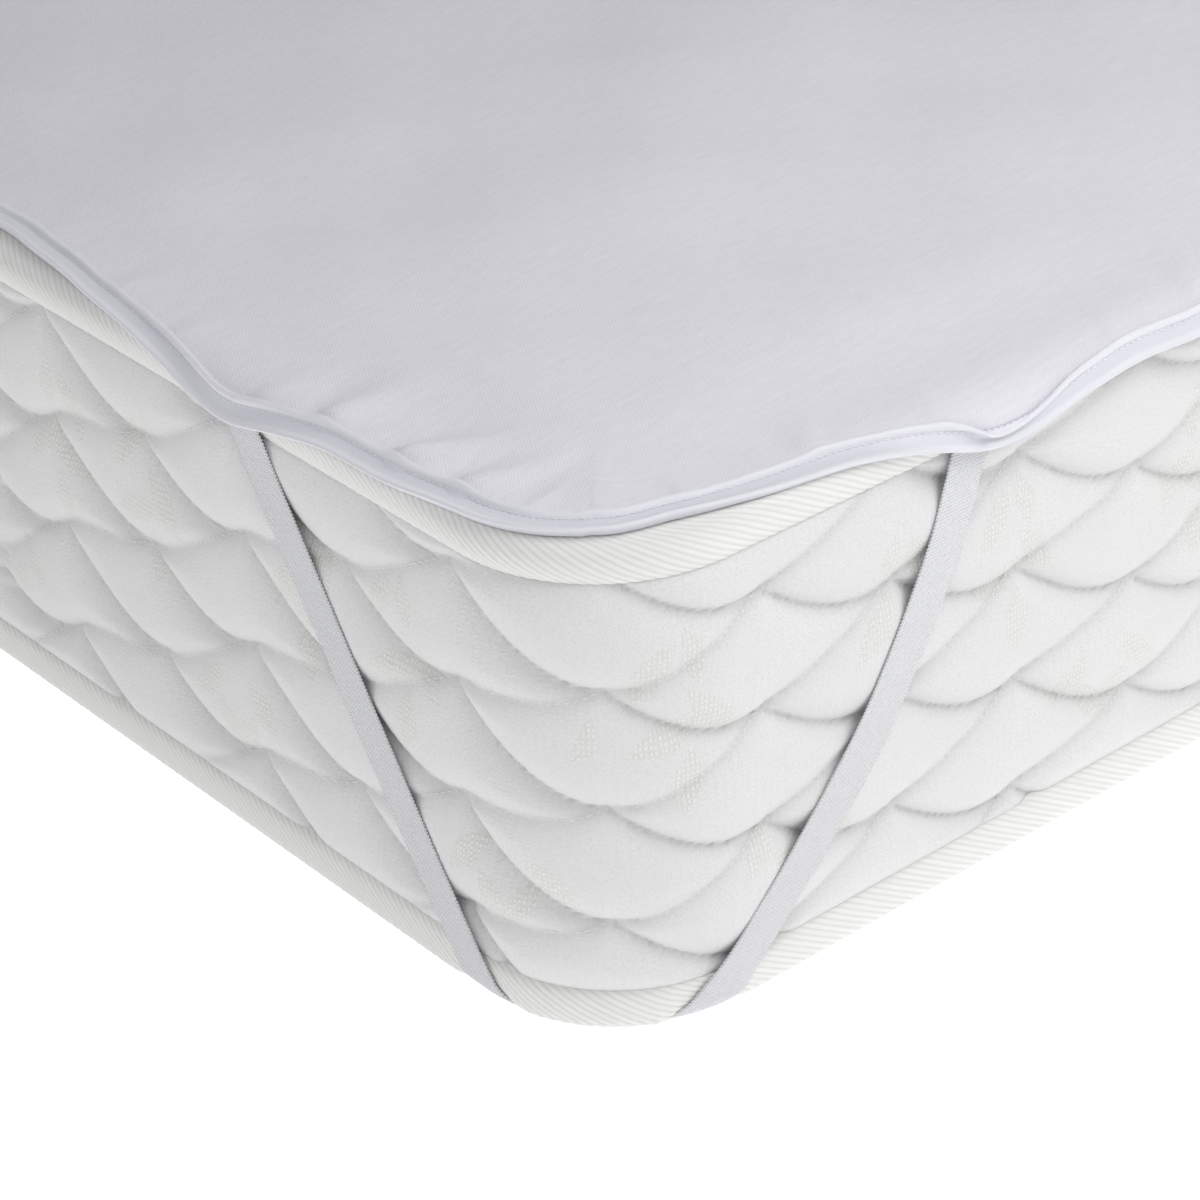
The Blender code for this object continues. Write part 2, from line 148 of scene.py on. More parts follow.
# The corners' middles, as lengths along the border anticlockwise from the photographed corner's middle
CORNER_AT = np.array([0, 2 * LONG_HALF, 2 * (LONG_HALF + SHORT_HALF), AROUND - 2 * SHORT_HALF, AROUND])
SIDE_MIDDLES = CORNER_AT[:4] + [LONG_HALF, SHORT_HALF, LONG_HALF, SHORT_HALF]
CENTRE_X = (LENGTH / 2 - RADIUS) * np.array([-1, 1, 1, -1])
CENTRE_Y = (WIDTH / 2 - RADIUS) * np.array([-1, -1, 1, 1])
BORDER_FOOT, BORDER_HEAD = 16.2, 185.7
FOOT_OUT, HEAD_OUT = -1.6, -1.8
# The meshes are fine up to this length from the photographed corner's middle
NEAR_REACH = 0.35
NEAR_STEP, FAR_STEP = 1.75 * MM, 9.0 * MM
ROW_STEP, EDGE_ROW = 1.85, 0.8
CUSP_COLUMNS = 92
CUSP_SHIFT, CUSP_LIFT = 2.0, 2.5
CUSP_RISE = 47.8
HIGH_CUSP, LOW_CUSP = 76.0, 48.0
CUSP_NEAR = {
    "column": (-5, -4, -3, -2, -1, 0, 1, 2, 3, 4),
    "height": (85.0, 54.5, 85.0, 53.0, 80.0, 43.5, 67.0, 45.0, 71.5, 42.0),
}
STEEP_START, FLAT_END = -0.80, 0.45
# Where a steep seam comes down 31 mm, its slope at the end is 0.1. A shorter one ends steeper.
MEET_BELOW = 25.0
LONG_FALL, FALL_RANGE = 31.0, 13.0
MEET_SLOPE, MEET_SLOPE_RANGE = 0.1, 0.35
SEAM_POINTS = 90
PUFF_REACH, PUFF_HEIGHT, SEAM_DEPTH, PUFF_POWER = 19.0, 6.3, 2.1, 2.2
VALLEY_ROUND, VALLEY_SHARP = 1.4, 1.3
# A flat seam is shallower towards the next cusp, and the rims pull the cloth in less than the seams do
FLAT_SEAM_RISE, RIM_RISE = 4.2, 2.6
# Painted shade: the cloth is coloured darker within about this width of a seam, as the shade in its crease
SEAM_SHADE_WIDTH = 1.6
# Under a strap the quilting is pressed in, and less so further from the strap
PRESSED, PRESSED_SLOPE, PRESSED_SOFT = 3.7, 0.5, 0.5
STRAP_WIDTH = 17.5
# The straps lean, so the distance square to one is a part of the distance along the border
STRAP_SQUARE = 0.83
STRAP_SHORT = {"height": (20, 100, 190), "distance": (60.0, 113.0, 171.5)}
STRAP_LONG = {
    "height": (20, 32, 62, 92, 122, 152, 190),
    "distance": (51.0, 62.5, 91.7, 115.4, 134.2, 148.6, 162.0),
}


def corner_and_distance(along):
    """The nearest corner, and the signed distance from its middle."""
    along = np.asarray(along) % AROUND
    index = np.searchsorted(SIDE_MIDDLES, along)
    return index % 4, along - CORNER_AT[index]


def on_border(along, out, height):
    """Points at lengths along the border, moved outwards, at a height."""
    along, out, height = np.broadcast_arrays(along, out, height)
    corner, distance = corner_and_distance(along)
    angle = np.clip(distance, -QUARTER_ARC, QUARTER_ARC) / RADIUS
    beyond = distance - angle * RADIUS
    facing = np.radians(225 + 90 * corner) + angle
    x = CENTRE_X[corner] + np.cos(facing) * (RADIUS + out) - np.sin(facing) * beyond
    y = CENTRE_Y[corner] + np.sin(facing) * (RADIUS + out) + np.cos(facing) * beyond
    return np.stack([x, y, height], -1)


def smooth(share):
    share = np.clip(share, 0.0, 1.0)
    return share * share * (3.0 - 2.0 * share)


def cloth_object(name, mesh, places, mat):
    """An object of a cloth. places gives where each corner of the mesh's faces lies on the flat cloth."""
    layer = mesh.uv_layers.new(name="cloth")
    layer.data.foreach_set("uv", places.astype(np.float32).ravel())
    mesh.polygons.foreach_set("use_smooth", np.ones(len(mesh.polygons), dtype=bool))
    mesh.materials.append(mat)
    return add_object(name, mesh)


def band_round(name, points, mat, cloth, closed_rows=False, marks=None):
    """Cloth through rows of points that run right round. cloth is where each point lies when it is flat."""
    row_count, column_count = points.shape[:2]
    index = np.arange(row_count * column_count).reshape(row_count, column_count)
    lower = index if closed_rows else index[:-1]
    upper = np.roll(index, -1, 0) if closed_rows else index[1:]
    quads = np.stack([lower, np.roll(lower, -1, 1), np.roll(upper, -1, 1), upper], -1).reshape(-1, 4)
    mesh = bpy.data.meshes.new(name)
    mesh.vertices.add(row_count * column_count)
    mesh.vertices.foreach_set("co", points.astype(np.float32).ravel())
    mesh.loops.add(quads.size)
    mesh.loops.foreach_set("vertex_index", quads.ravel().astype(np.int32))
    mesh.polygons.add(len(quads))
    mesh.polygons.foreach_set("loop_start", np.arange(0, quads.size, 4, dtype=np.int32))
    mesh.polygons.foreach_set("loop_total", np.full(len(quads), 4, dtype=np.int32))
    mesh.update(calc_edges=True)
    # The last column meets the first one again, a whole way round further along the cloth
    places = cloth.reshape(-1, 2)[quads]
    last = np.arange(len(quads)) % column_count == column_count - 1
    places[last, 1:3, 0] += AROUND
    for mark, values in (marks or {}).items():
        attribute = mesh.attributes.new(mark, "FLOAT", "POINT")
        attribute.data.foreach_set("value", values.astype(np.float32).ravel())
    return cloth_object(name, mesh, places, mat)


def along_border(near_step, far_step, reach):
    """Lengths along the border, close together near the photographed corner."""
    near = np.arange(0, reach, near_step)
    far = np.linspace(reach, AROUND - reach, round((AROUND - 2 * reach) / far_step), endpoint=False)
    return np.concatenate([near, far, (AROUND - near[::-1])[:-1]])


def cusp(column):
    """Length along the border and lowest height of a column's cusps, in millimetres."""
    near = dict(zip(CUSP_NEAR["column"], CUSP_NEAR["height"]))
    height = near.get(column, LOW_CUSP if column % 2 == 0 else HIGH_CUSP)
    return CUSP_SHIFT + column * AROUND / MM / CUSP_COLUMNS, height + CUSP_LIFT


def seam_curve(start, end, slope_start, slope_end):
    """Points of a smooth seam between two places, from its slopes there."""
    t = np.linspace(0, 1, SEAM_POINTS)
    run = end[0] - start[0]
    rise = (2 * t**3 - 3 * t**2 + 1) * start[1] + (3 * t**2 - 2 * t**3) * end[1]
    rise += (t**3 - 2 * t**2 + t) * run * slope_start + (t**3 - t**2) * run * slope_end
    return np.stack([start[0] + run * t, rise], -1)


def sew_seams():
    """Each scale's steep seam, down to the next column's cusp, and its flat seam, up to the cusp beyond."""
    steep, flat = [], []
    for column in range(-CUSP_COLUMNS // 2 - 2, CUSP_COLUMNS // 2 + 2):
        (x0, z0), (x1, z1), (x2, z2) = (cusp(column + step) for step in range(3))
        for k in range(-1, 5):
            start = z0 + k * CUSP_RISE
            meet = z1 + round((start - MEET_BELOW - z1) / CUSP_RISE) * CUSP_RISE
            meet_slope = MEET_SLOPE + (LONG_FALL - (start - meet)) / FALL_RANGE * MEET_SLOPE_RANGE
            steep.append(seam_curve((x0, start), (x1, meet), STEEP_START, meet_slope))
            flat.append(seam_curve((x1, meet), (x2, z2 + k * CUSP_RISE), meet_slope, FLAT_END))
    return steep, flat


def nearest_seam(curves, wanted):
    """Distance from each wanted place to the nearest of the seams, and how far along that seam it is."""
    points = np.concatenate(curves)
    tree = kdtree.KDTree(len(points))
    for i, (x, z) in enumerate(points):
        tree.insert((x, z, 0.0), i)
    tree.balance()
    found = [tree.find((x, z, 0.0)) for x, z in wanted]
    share = np.array([(f[1] % SEAM_POINTS) / (SEAM_POINTS - 1) for f in found])
    return np.array([f[2] for f in found]), share


def beside_strap(along, height):
    """Distance in millimetres from the middle of the strap that runs nearest, measured square to it."""
    corner, distance = corner_and_distance(along)
    short = np.interp(height, STRAP_SHORT["height"], STRAP_SHORT["distance"])
    long = np.interp(height, STRAP_LONG["height"], STRAP_LONG["distance"])
    on_long_side = (corner % 2 == 0) == (distance > 0)
    return np.abs(np.abs(distance) / MM - np.where(on_long_side, long, short)) * STRAP_SQUARE


STEEP_SEAMS, FLAT_SEAMS = sew_seams()


def quilt_out(along, height):
    """How far the quilted border stands out, in millimetres, and how near a seam is, which sets the painted
    shade in the seams' creases.
    """
    signed = (along / MM + AROUND / MM / 2) % (AROUND / MM) - AROUND / MM / 2
    wanted = np.stack([signed.ravel(), height.ravel()], -1)
    steep, _ = nearest_seam(STEEP_SEAMS, wanted)
    flat, share = nearest_seam(FLAT_SEAMS, wanted)
    rim = np.minimum(wanted[:, 1] - BORDER_FOOT, BORDER_HEAD - wanted[:, 1])
    shallow = flat + FLAT_SEAM_RISE * smooth(share * 2.5)
    near = sum(np.exp(-VALLEY_SHARP * away) for away in (steep, shallow, rim + RIM_RISE))
    reach = np.hypot(np.maximum(-np.log(near) / VALLEY_SHARP, 0), VALLEY_ROUND) - VALLEY_ROUND
    share_in = np.clip(reach, 0, PUFF_REACH) / PUFF_REACH
    out = PUFF_HEIGHT * np.sqrt(1 - (1 - share_in) ** PUFF_POWER) - SEAM_DEPTH
    beside = beside_strap(wanted[:, 0] * MM, wanted[:, 1])
    pressed = PRESSED + np.clip(beside - STRAP_WIDTH / 2 - 0.5, 0, None) * PRESSED_SLOPE
    over = (out - pressed + PRESSED_SOFT) / PRESSED_SOFT
    out = np.where(over > 0, pressed - PRESSED_SOFT * np.exp(-over), out)
    # Painted shade: the colour is darkest in a seam's crease and fades within a few millimetres
    painted_seam_shade = np.exp(-np.minimum(steep, flat) / SEAM_SHADE_WIDTH)
    return out.reshape(height.shape), painted_seam_shade.reshape(height.shape)


# Leaves of the woven figure: middle along the tile and height, turn in degrees, half length and half width.
# The tile is mirrored at its end, and so repeats round the border.
LEAF_TILE = 0.0775
LEAVES = (
    (18.0, 148.0, 62.0, 15.0, 6.0),
    (33.0, 153.0, 100.0, 12.0, 5.0),
    (24.0, 122.0, 20.0, 16.0, 6.5),
    (40.0, 128.0, 128.0, 17.0, 6.0),
    (30.0, 103.0, 82.0, 14.0, 6.5),
    (60.0, 62.0, 50.0, 15.0, 6.0),
    (72.0, 48.0, 120.0, 13.0, 5.5),
)


def add_node(tree, kind, inputs, **settings):
    """A node with its settings and inputs."""
    node = tree.nodes.new(kind)
    for name, value in settings.items():
        setattr(node, name, value)
    set_inputs(tree, node, inputs)
    return node


def cloth_place(tree):
    """Where each point lies on the flat cloth, in metres."""
    return add_node(tree, "ShaderNodeUVMap", {}, uv_map="cloth").outputs["UV"]


def scaled(tree, x, y):
    """The place on the cloth, counted in steps of x and y millimetres."""
    inputs = {0: cloth_place(tree), 1: (1 / (x * MM), 1 / (y * MM), 1.0)}
    return add_node(tree, "ShaderNodeVectorMath", inputs, operation="MULTIPLY").outputs["Vector"]


def cells(tree, x, y, randomness):
    """Distance from the middles of loops that are x by y millimetres apart."""
    inputs = {"Vector": scaled(tree, x, y), "Scale": 1.0, "Randomness": randomness}
    return add_node(tree, "ShaderNodeTexVoronoi", inputs, voronoi_dimensions="2D").outputs["Distance"]


def mapped(tree, value, low, high, to_low=0.0, to_high=1.0):
    """A soft step, from to_low where the value is low to to_high where it is high."""
    inputs = {"Value": value, "From Min": low, "From Max": high, "To Min": to_low, "To Max": to_high}
    return add_node(tree, "ShaderNodeMapRange", inputs, interpolation_type="SMOOTHSTEP").outputs["Result"]


def combined(tree, operation, *values):
    """A sum, product or other result of values and of nodes' outputs."""
    inputs = dict(enumerate(values))
    return add_node(tree, "ShaderNodeMath", inputs, operation=operation).outputs["Value"]


def tinted(tree, factor, below, above):
    """A colour from below to above as the factor goes from 0 to 1. Each is a colour or a node's output."""
    below, above = ((*color, 1.0) if isinstance(color, tuple) else color for color in (below, above))
    inputs = {"Factor": factor, 6: below, 7: above}
    return add_node(tree, "ShaderNodeMix", inputs, data_type="RGBA").outputs[2]


def marked(tree, name):
    """A mark that the mesh carries, from 0 to 1."""
    return add_node(tree, "ShaderNodeAttribute", {}, attribute_name=name).outputs["Fac"]


def raised(tree, height, distance, strength=1.0, invert=False):
    """The relief of a height, with its distance in millimetres."""
    inputs = {"Height": height, "Distance": distance * MM, "Strength": strength}
    return add_node(tree, "ShaderNodeBump", inputs, invert=invert).outputs["Normal"]


def woven_leaves(tree):
    """1 on the leaves, which are pointed ovals in the tile, and 0 beside them."""
    split = add_node(tree, "ShaderNodeSeparateXYZ", {"Vector": cloth_place(tree)})
    tile = combined(tree, "PINGPONG", split.outputs["X"], LEAF_TILE)
    leaves = 0.0
    for x, z, turn, half_length, half_width in LEAVES:
        c, s = math.cos(math.radians(turn)), math.sin(math.radians(turn))
        dx = combined(tree, "SUBTRACT", tile, x * MM)
        dz = combined(tree, "SUBTRACT", split.outputs["Y"], z * MM)
        run = combined(tree, "MULTIPLY_ADD", dx, c, combined(tree, "MULTIPLY", dz, s))
        side = combined(tree, "MULTIPLY_ADD", dx, -s, combined(tree, "MULTIPLY", dz, c))
        u = combined(tree, "ABSOLUTE", combined(tree, "DIVIDE", run, half_length * MM))
        v = combined(tree, "ABSOLUTE", combined(tree, "DIVIDE", side, half_width * MM))
        pointed = combined(tree, "ADD", combined(tree, "POWER", u, 1.6), v)
        leaves = combined(tree, "MAXIMUM", leaves, mapped(tree, pointed, 0.86, 1.0, 1.0, 0.0))
    return leaves


def border_cloth():
    """Off-white stretch knit with fine dots, faint rows of dashes, and small woven leaves here and there.

    The leaves are woven in larger, creamier dashes.
    """
    mat, tree = new_material("border_cloth")
    loops = mapped(tree, cells(tree, 0.85, 0.70, 0.75), 0.1, 0.7, 1.0, 0.0)
    dots = mapped(tree, cells(tree, 1.6, 1.45, 0.9), 0.10, 0.34)
    dashes = mapped(tree, cells(tree, 3.4, 1.75, 0.35), 0.16, 0.40, 1.0, 0.0)
    clouds = {"Vector": scaled(tree, 34.0, 30.0), "Scale": 1.0, "Detail": 2.0}
    patchy = mapped(tree, add_node(tree, "ShaderNodeTexNoise", clouds).outputs["Fac"], 0.42, 0.62)
    faint_dashes = combined(tree, "MULTIPLY", dashes, patchy)
    leaves = woven_leaves(tree)
    leaf_dashes = mapped(tree, cells(tree, 1.75, 2.3, 0.25), 0.22, 0.42, 1.0, 0.0)
    woven = combined(tree, "MULTIPLY", leaves, leaf_dashes)
    height = combined(tree, "MULTIPLY", loops, 0.45)
    for value, share in ((dots, 0.55), (faint_dashes, 0.55), (woven, 1.7)):
        height = combined(tree, "MULTIPLY_ADD", value, share, height)
    ground = (0.70, 0.70, 0.69)
    for value, share, color in (
        (dots, 1.0, (0.735, 0.735, 0.73)),
        (faint_dashes, 0.35, (0.80, 0.80, 0.80)),
        (leaves, 0.6, (0.70, 0.70, 0.675)),
        (woven, 0.8, (0.82, 0.81, 0.765)),
        # Painted shade: darker in the creases along the seams
        (marked(tree, "seam"), 0.5, (0.50, 0.50, 0.49)),
    ):
        ground = tinted(tree, combined(tree, "MULTIPLY", value, share), ground, color)
    relief = raised(tree, height, distance=0.25, strength=0.55)
    shade(tree, {"Base Color": ground, "Normal": relief, "Roughness": 0.92, "Sheen Weight": 0.15})
    return mat


BORDER_CLOTH = border_cloth()
across = along_border(NEAR_STEP, FAR_STEP, NEAR_REACH)
rows_up = round((BORDER_HEAD - BORDER_FOOT) / ROW_STEP)
heights = np.linspace(BORDER_FOOT + EDGE_ROW, BORDER_HEAD - EDGE_ROW, rows_up)
heights = np.concatenate([[BORDER_FOOT], heights, [BORDER_HEAD]])
heights = heights[:, None] + np.zeros(len(across))
# Each point also gets the strength of the painted shade in the seams' creases, as the seam mark
outs, painted_seam_shade = quilt_out(np.broadcast_to(across, heights.shape), heights)
outs[0], outs[-1] = FOOT_OUT, HEAD_OUT
quilted_border = band_round(
    "quilted_border",
    on_border(across, outs * MM, heights * MM),
    BORDER_CLOTH,
    np.stack(np.broadcast_arrays(across, heights * MM), -1),
    marks={"seam": painted_seam_shade},
)

# The panels are the solid's own, with its channels under the straps, and go a little under the border
body_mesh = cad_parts["mattress"].data.copy()
body = bmesh.new()
body.from_mesh(body_mesh)
bmesh.ops.remove_doubles(body, verts=body.verts, dist=0.01 * MM)
middles = [(face, face.calc_center_median().z / MM) for face in body.faces]
border_faces = [face for face, height in middles if BORDER_FOOT + 0.5 < height < BORDER_HEAD - 0.5]
bmesh.ops.delete(body, geom=border_faces, context="FACES")
cloth_layer = body.loops.layers.uv.new("cloth")
for face in body.faces:
    face.smooth = True
    for loop in face.loops:
        loop[cloth_layer].uv = loop.vert.co.xy
body.to_mesh(body_mesh)
body.free()
body_mesh.materials.clear()
body_mesh.materials.append(BORDER_CLOTH)
panels = add_object("mattress_panels", body_mesh)

for piece in (quilted_border, panels):
    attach(piece, "root")
    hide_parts("mattress")

# Quilting thread: short stitches along the flat seams, where the cloth is hardly pulled in. Each is one
# bead of white thread, set on the seam by Geometry Nodes.
STITCH_PITCH = 3.1
STITCH_MARGIN = 3.0
# Length, width and thickness, and how far a stitch stands off the cloth
QUILT_STITCH, STITCH_LIFT = (2.3, 0.55, 0.45), 0.10
# The flat seams rise along the border, and so do their stitches
STITCH_SLOPE = 0.45


def thread_material(name, color):
    mat, tree = new_material(name)
    shade(tree, {"Base Color": (*color, 1.0), "Roughness": 0.6})
    return mat


def new_group(name, kind, inputs, outputs):
    """A node group, with what it is given and the node that takes what it makes."""
    tree = bpy.data.node_groups.new(name, kind)
    for in_out, sockets in (("INPUT", inputs), ("OUTPUT", outputs)):
        for label, value_type in sockets.items():
            tree.interface.new_socket(label, in_out=in_out, socket_type="NodeSocket" + value_type)
    return tree, tree.nodes.new("NodeGroupInput").outputs, tree.nodes.new("NodeGroupOutput")


def stitch_tree():
    """Sets one bead on each point, with its length along the run and its thickness along the facing."""
    inputs = {"Geometry": "Geometry", "Length": "Float", "Width": "Float", "Thickness": "Float"}
    inputs["Thread"] = "Material"
    tree, given, made = new_group("stitches", "GeometryNodeTree", inputs, {"Geometry": "Geometry"})
    bead = add_node(tree, "GeometryNodeMeshIcoSphere", {"Radius": 0.5, "Subdivisions": 1})
    sizes = {"X": given["Length"], "Y": given["Width"], "Z": given["Thickness"]}
    size = add_node(tree, "ShaderNodeCombineXYZ", sizes)
    axes = {}
    for name, axis in (("run", "Primary Axis"), ("facing", "Secondary Axis")):
        named = add_node(tree, "GeometryNodeInputNamedAttribute", {"Name": name}, data_type="FLOAT_VECTOR")
        axes[axis] = named.outputs["Attribute"]
    turn = add_node(tree, "FunctionNodeAxesToRotation", axes, primary_axis="X", secondary_axis="Z")
    inputs = {"Points": given["Geometry"], "Instance": bead.outputs["Mesh"]}
    inputs.update(Rotation=turn.outputs["Rotation"], Scale=size.outputs["Vector"])
    beads = add_node(tree, "GeometryNodeInstanceOnPoints", inputs).outputs["Instances"]
    real = add_node(tree, "GeometryNodeRealizeInstances", {"Geometry": beads}).outputs["Geometry"]
    thread = add_node(tree, "GeometryNodeSetMaterial", {"Geometry": real, "Material": given["Thread"]})
    set_inputs(tree, made, {"Geometry": thread.outputs["Geometry"]})
    return tree


STITCHES = stitch_tree()


def sew(name, points, runs, facings, sizes, thread):
    """A mesh of stitches at points. sizes are a stitch's length, width and thickness in millimetres."""
    mesh = bpy.data.meshes.new(name)
    mesh.from_pydata(points.tolist(), [], [])
    for mark, values in (("run", runs), ("facing", facings)):
        attribute = mesh.attributes.new(mark, "FLOAT_VECTOR", "POINT")
        attribute.data.foreach_set("vector", values.astype(np.float32).ravel())
    base = add_object(name + "_base", mesh)
    modifier = base.modifiers.new("Stitches", "NODES")
    modifier.node_group = STITCHES
    items = [item for item in STITCHES.interface.items_tree if item.in_out == "INPUT"]
    sockets = {item.name: item.identifier for item in items}
    for label, value in zip(("Length", "Width", "Thickness"), sizes):
        modifier[sockets[label]] = value * MM
    modifier[sockets["Thread"]] = thread
    bpy.context.view_layer.update()
    evaluated = base.evaluated_get(bpy.context.evaluated_depsgraph_get())
    plain = bpy.data.meshes.new_from_object(evaluated)
    bpy.data.objects.remove(base)
    return add_object(name, plain)


def even_places(curve, pitch):
    """Places a pitch apart along a flat curve."""
    gone = np.concatenate([[0], np.cumsum(np.hypot(*np.diff(curve, axis=0).T))])
    wanted = np.arange(pitch / 2, gone[-1], pitch)
    return np.stack([np.interp(wanted, gone, curve[:, i]) for i in (0, 1)], -1)


def surface_frames(place, step):
    """Runs and facings of a surface that place() gives, at lengths along the border."""
    ahead, behind = place(step, 0.0), place(-step, 0.0)
    above, below = place(0.0, step), place(0.0, -step)
    run = ahead - behind
    facing = np.cross(run, above - below)
    return run / np.linalg.norm(run, axis=1)[:, None], facing / np.linalg.norm(facing, axis=1)[:, None]


stitch_places = np.concatenate([even_places(curve, STITCH_PITCH) for curve in FLAT_SEAMS])
half_way = AROUND / MM / 2
inside = stitch_places[:, 1] > BORDER_FOOT + STITCH_MARGIN
inside &= stitch_places[:, 1] < BORDER_HEAD - STITCH_MARGIN
inside &= (stitch_places[:, 0] > -half_way) & (stitch_places[:, 0] <= half_way)
stitch_places = stitch_places[inside]


def on_quilt(step_along, step_up):
    """Points on the quilted border beside each stitch, by steps in millimetres."""
    along = stitch_places[:, 0] * MM + step_along * MM
    up = stitch_places[:, 1] + step_up
    out, _ = quilt_out(along, up)
    return on_border(along, out * MM, up * MM)


runs, facings = surface_frames(on_quilt, 1.2)
runs = runs + np.cross(facings, runs) * STITCH_SLOPE
quilt_stitches = sew(
    "quilt_stitches",
    on_quilt(0.0, 0.0) + facings * STITCH_LIFT * MM,
    runs,
    facings,
    QUILT_STITCH,
    thread_material("quilting_thread", (0.80, 0.80, 0.80)),
)
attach(quilt_stitches, "root")
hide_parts("mattress")

# Mattress tapes: cream twill, woven in slanted ridges. Each is folded over a rim of the mattress and sewn
# down, with its one edge on the border and its other one on the panel.
RIDGES = 1265
RIDGE_SLOPE = 0.60
RIDGE_PROFILE = (0.0, 0.75, 1.0, 0.8)
RIDGE_HEIGHT, RIDGE_UNEVEN = 0.34, 0.12
TAPE_ROWS = 11
TOP_TAPE = (
    (-0.9, 184.2),
    (0.7, 184.4),
    (2.0, 186.6),
    (2.9, 190.8),
    (2.1, 195.6),
    (-1.4, 198.2),
    (-9.0, 199.6),
)
LOWER_HEM = ((2.4, 14.9), (0.9, 17.5), (-0.9, 17.8))
BOTTOM_TAPE = ((-7.0, 1.6), (2.0, 1.2), (3.2, 3.6), (3.1, 10.0), *LOWER_HEM)
LOWER_HEM_DRAWN_IN = ((2.0, 14.9), *LOWER_HEM[1:])
BOTTOM_TAPE_DRAWN_IN = ((-7.0, 2.9), (-0.6, 3.2), (1.2, 4.6), (2.3, 8.6), *LOWER_HEM_DRAWN_IN)
# Where the two ends of a strap fold round the lower tape, from a corner's middle
DRAWN_IN = ((-52.0, -44.0), (31.0, 39.0))
DRAWN_IN_FADE = 16.0


def yarn_grain():
    """A shader group: uneven yarns that run one way over the cloth, as a value from 0 to 1 and a relief."""
    inputs = {"Cloth": "Vector", "Turn": "Float", "Along": "Float", "Across": "Float", "Relief": "Float"}
    outputs = {"Yarns": "Float", "Normal": "Vector"}
    tree, given, made = new_group("yarn_grain", "ShaderNodeTree", inputs, outputs)
    axes = {"Vector": given["Cloth"], "Angle": given["Turn"]}
    turned = add_node(tree, "ShaderNodeVectorRotate", axes, rotation_type="Z_AXIS", invert=True)
    size = add_node(tree, "ShaderNodeCombineXYZ", {"X": given["Along"], "Y": given["Across"], "Z": 1.0})
    shares = {0: turned.outputs["Vector"], 1: size.outputs["Vector"]}
    place = add_node(tree, "ShaderNodeVectorMath", shares, operation="DIVIDE").outputs["Vector"]
    noise = {"Vector": place, "Scale": 1.0, "Detail": 2.0}
    yarns = add_node(tree, "ShaderNodeTexNoise", noise).outputs["Fac"]
    relief = {"Height": yarns, "Distance": given["Relief"], "Strength": 1.0}
    normal = add_node(tree, "ShaderNodeBump", relief).outputs["Normal"]
    set_inputs(tree, made, {"Yarns": yarns, "Normal": normal})
    return tree


YARN_GRAIN = yarn_grain()


def place_grain(tree, turn, along, across, relief):
    """The yarn group in a material. turn is in degrees, the other values are in millimetres."""
    inputs = {"Cloth": cloth_place(tree), "Turn": math.radians(turn)}
    inputs.update(Along=along * MM, Across=across * MM, Relief=relief * MM)
    return add_node(tree, "ShaderNodeGroup", inputs, node_tree=YARN_GRAIN).outputs


def tape_cloth():
    mat, tree = new_material("tape_cloth")
    twill = -math.degrees(math.atan(RIDGE_SLOPE))
    threads = place_grain(tree, turn=twill, along=1.1, across=0.45, relief=0.10)
    # Painted shade and highlight: the ridge mark colours the grooves between the ridges darker and the
    # crests paler
    color = tinted(tree, marked(tree, "ridge"), (0.70, 0.70, 0.67), (0.82, 0.82, 0.80))
    shade(tree, {"Base Color": color, "Normal": threads["Normal"], "Roughness": 0.7, "Sheen Weight": 0.2})
    return mat


TAPE_CLOTH = tape_cloth()


def along_section(section, count):
    """Even steps along a section of (out, height), and the length from its first point to each."""
    table = np.array(section)
    gone = np.concatenate([[0], np.cumsum(np.hypot(*np.diff(table, axis=0).T))])
    wanted = np.linspace(0, gone[-1], count)
    return np.stack([np.interp(wanted, gone, table[:, i]) for i in (0, 1)], -1), wanted


def tape_place(along, row, section, drawn_in, lift):
    """Points of a tape in one row of its section, drawn in where the straps fold round the rim."""
    corner, distance = corner_and_distance(along)
    signed = np.where(corner % 2 == 0, distance, -distance) / MM
    inside = np.maximum(*(np.minimum(signed - low, high - signed) for low, high in DRAWN_IN))
    share = smooth((inside + DRAWN_IN_FADE) / DRAWN_IN_FADE)
    out = section[row, 0] + (drawn_in[row, 0] - section[row, 0]) * share
    up = section[row, 1] + (drawn_in[row, 1] - section[row, 1]) * share
    return on_border(along, (out + lift) * MM, up * MM)


def weave_tape(name, section, drawn_in):
    """A tape whose columns of points follow its slanted ridges."""
    columns = np.arange(RIDGES * 4) * AROUND / (RIDGES * 4)
    ridge = np.array(RIDGE_PROFILE)[np.arange(RIDGES * 4) % 4]
    ridge = ridge * (1 + RIDGE_UNEVEN * np.sin(np.arange(RIDGES * 4) // 4 * 2.4))
    even, up_along = along_section(section, TAPE_ROWS)
    even_in, _ = along_section(drawn_in, TAPE_ROWS)
    rows, cloth, marks = [], [], []
    for row in range(TAPE_ROWS):
        along = columns - up_along[row] * MM / RIDGE_SLOPE
        edge = 0.0 if row in (0, TAPE_ROWS - 1) else 1.0
        rows.append(tape_place(along, row, even, even_in, ridge * edge * RIDGE_HEIGHT))
        cloth.append(np.stack([along, np.full(len(along), up_along[row] * MM)], -1))
        # The ridge mark paints shade into the grooves and light onto the crests
        marks.append(np.clip(ridge, 0, 1))
    tape = band_round(name, np.array(rows), TAPE_CLOTH, np.array(cloth), marks={"ridge": np.array(marks)})
    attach(tape, "root")
    return tape


tape_top = weave_tape("tape_top", TOP_TAPE, TOP_TAPE)
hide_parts("mattress_tape_top")
tape_bottom = weave_tape("tape_bottom", BOTTOM_TAPE, BOTTOM_TAPE_DRAWN_IN)
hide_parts("mattress_tape_bottom")

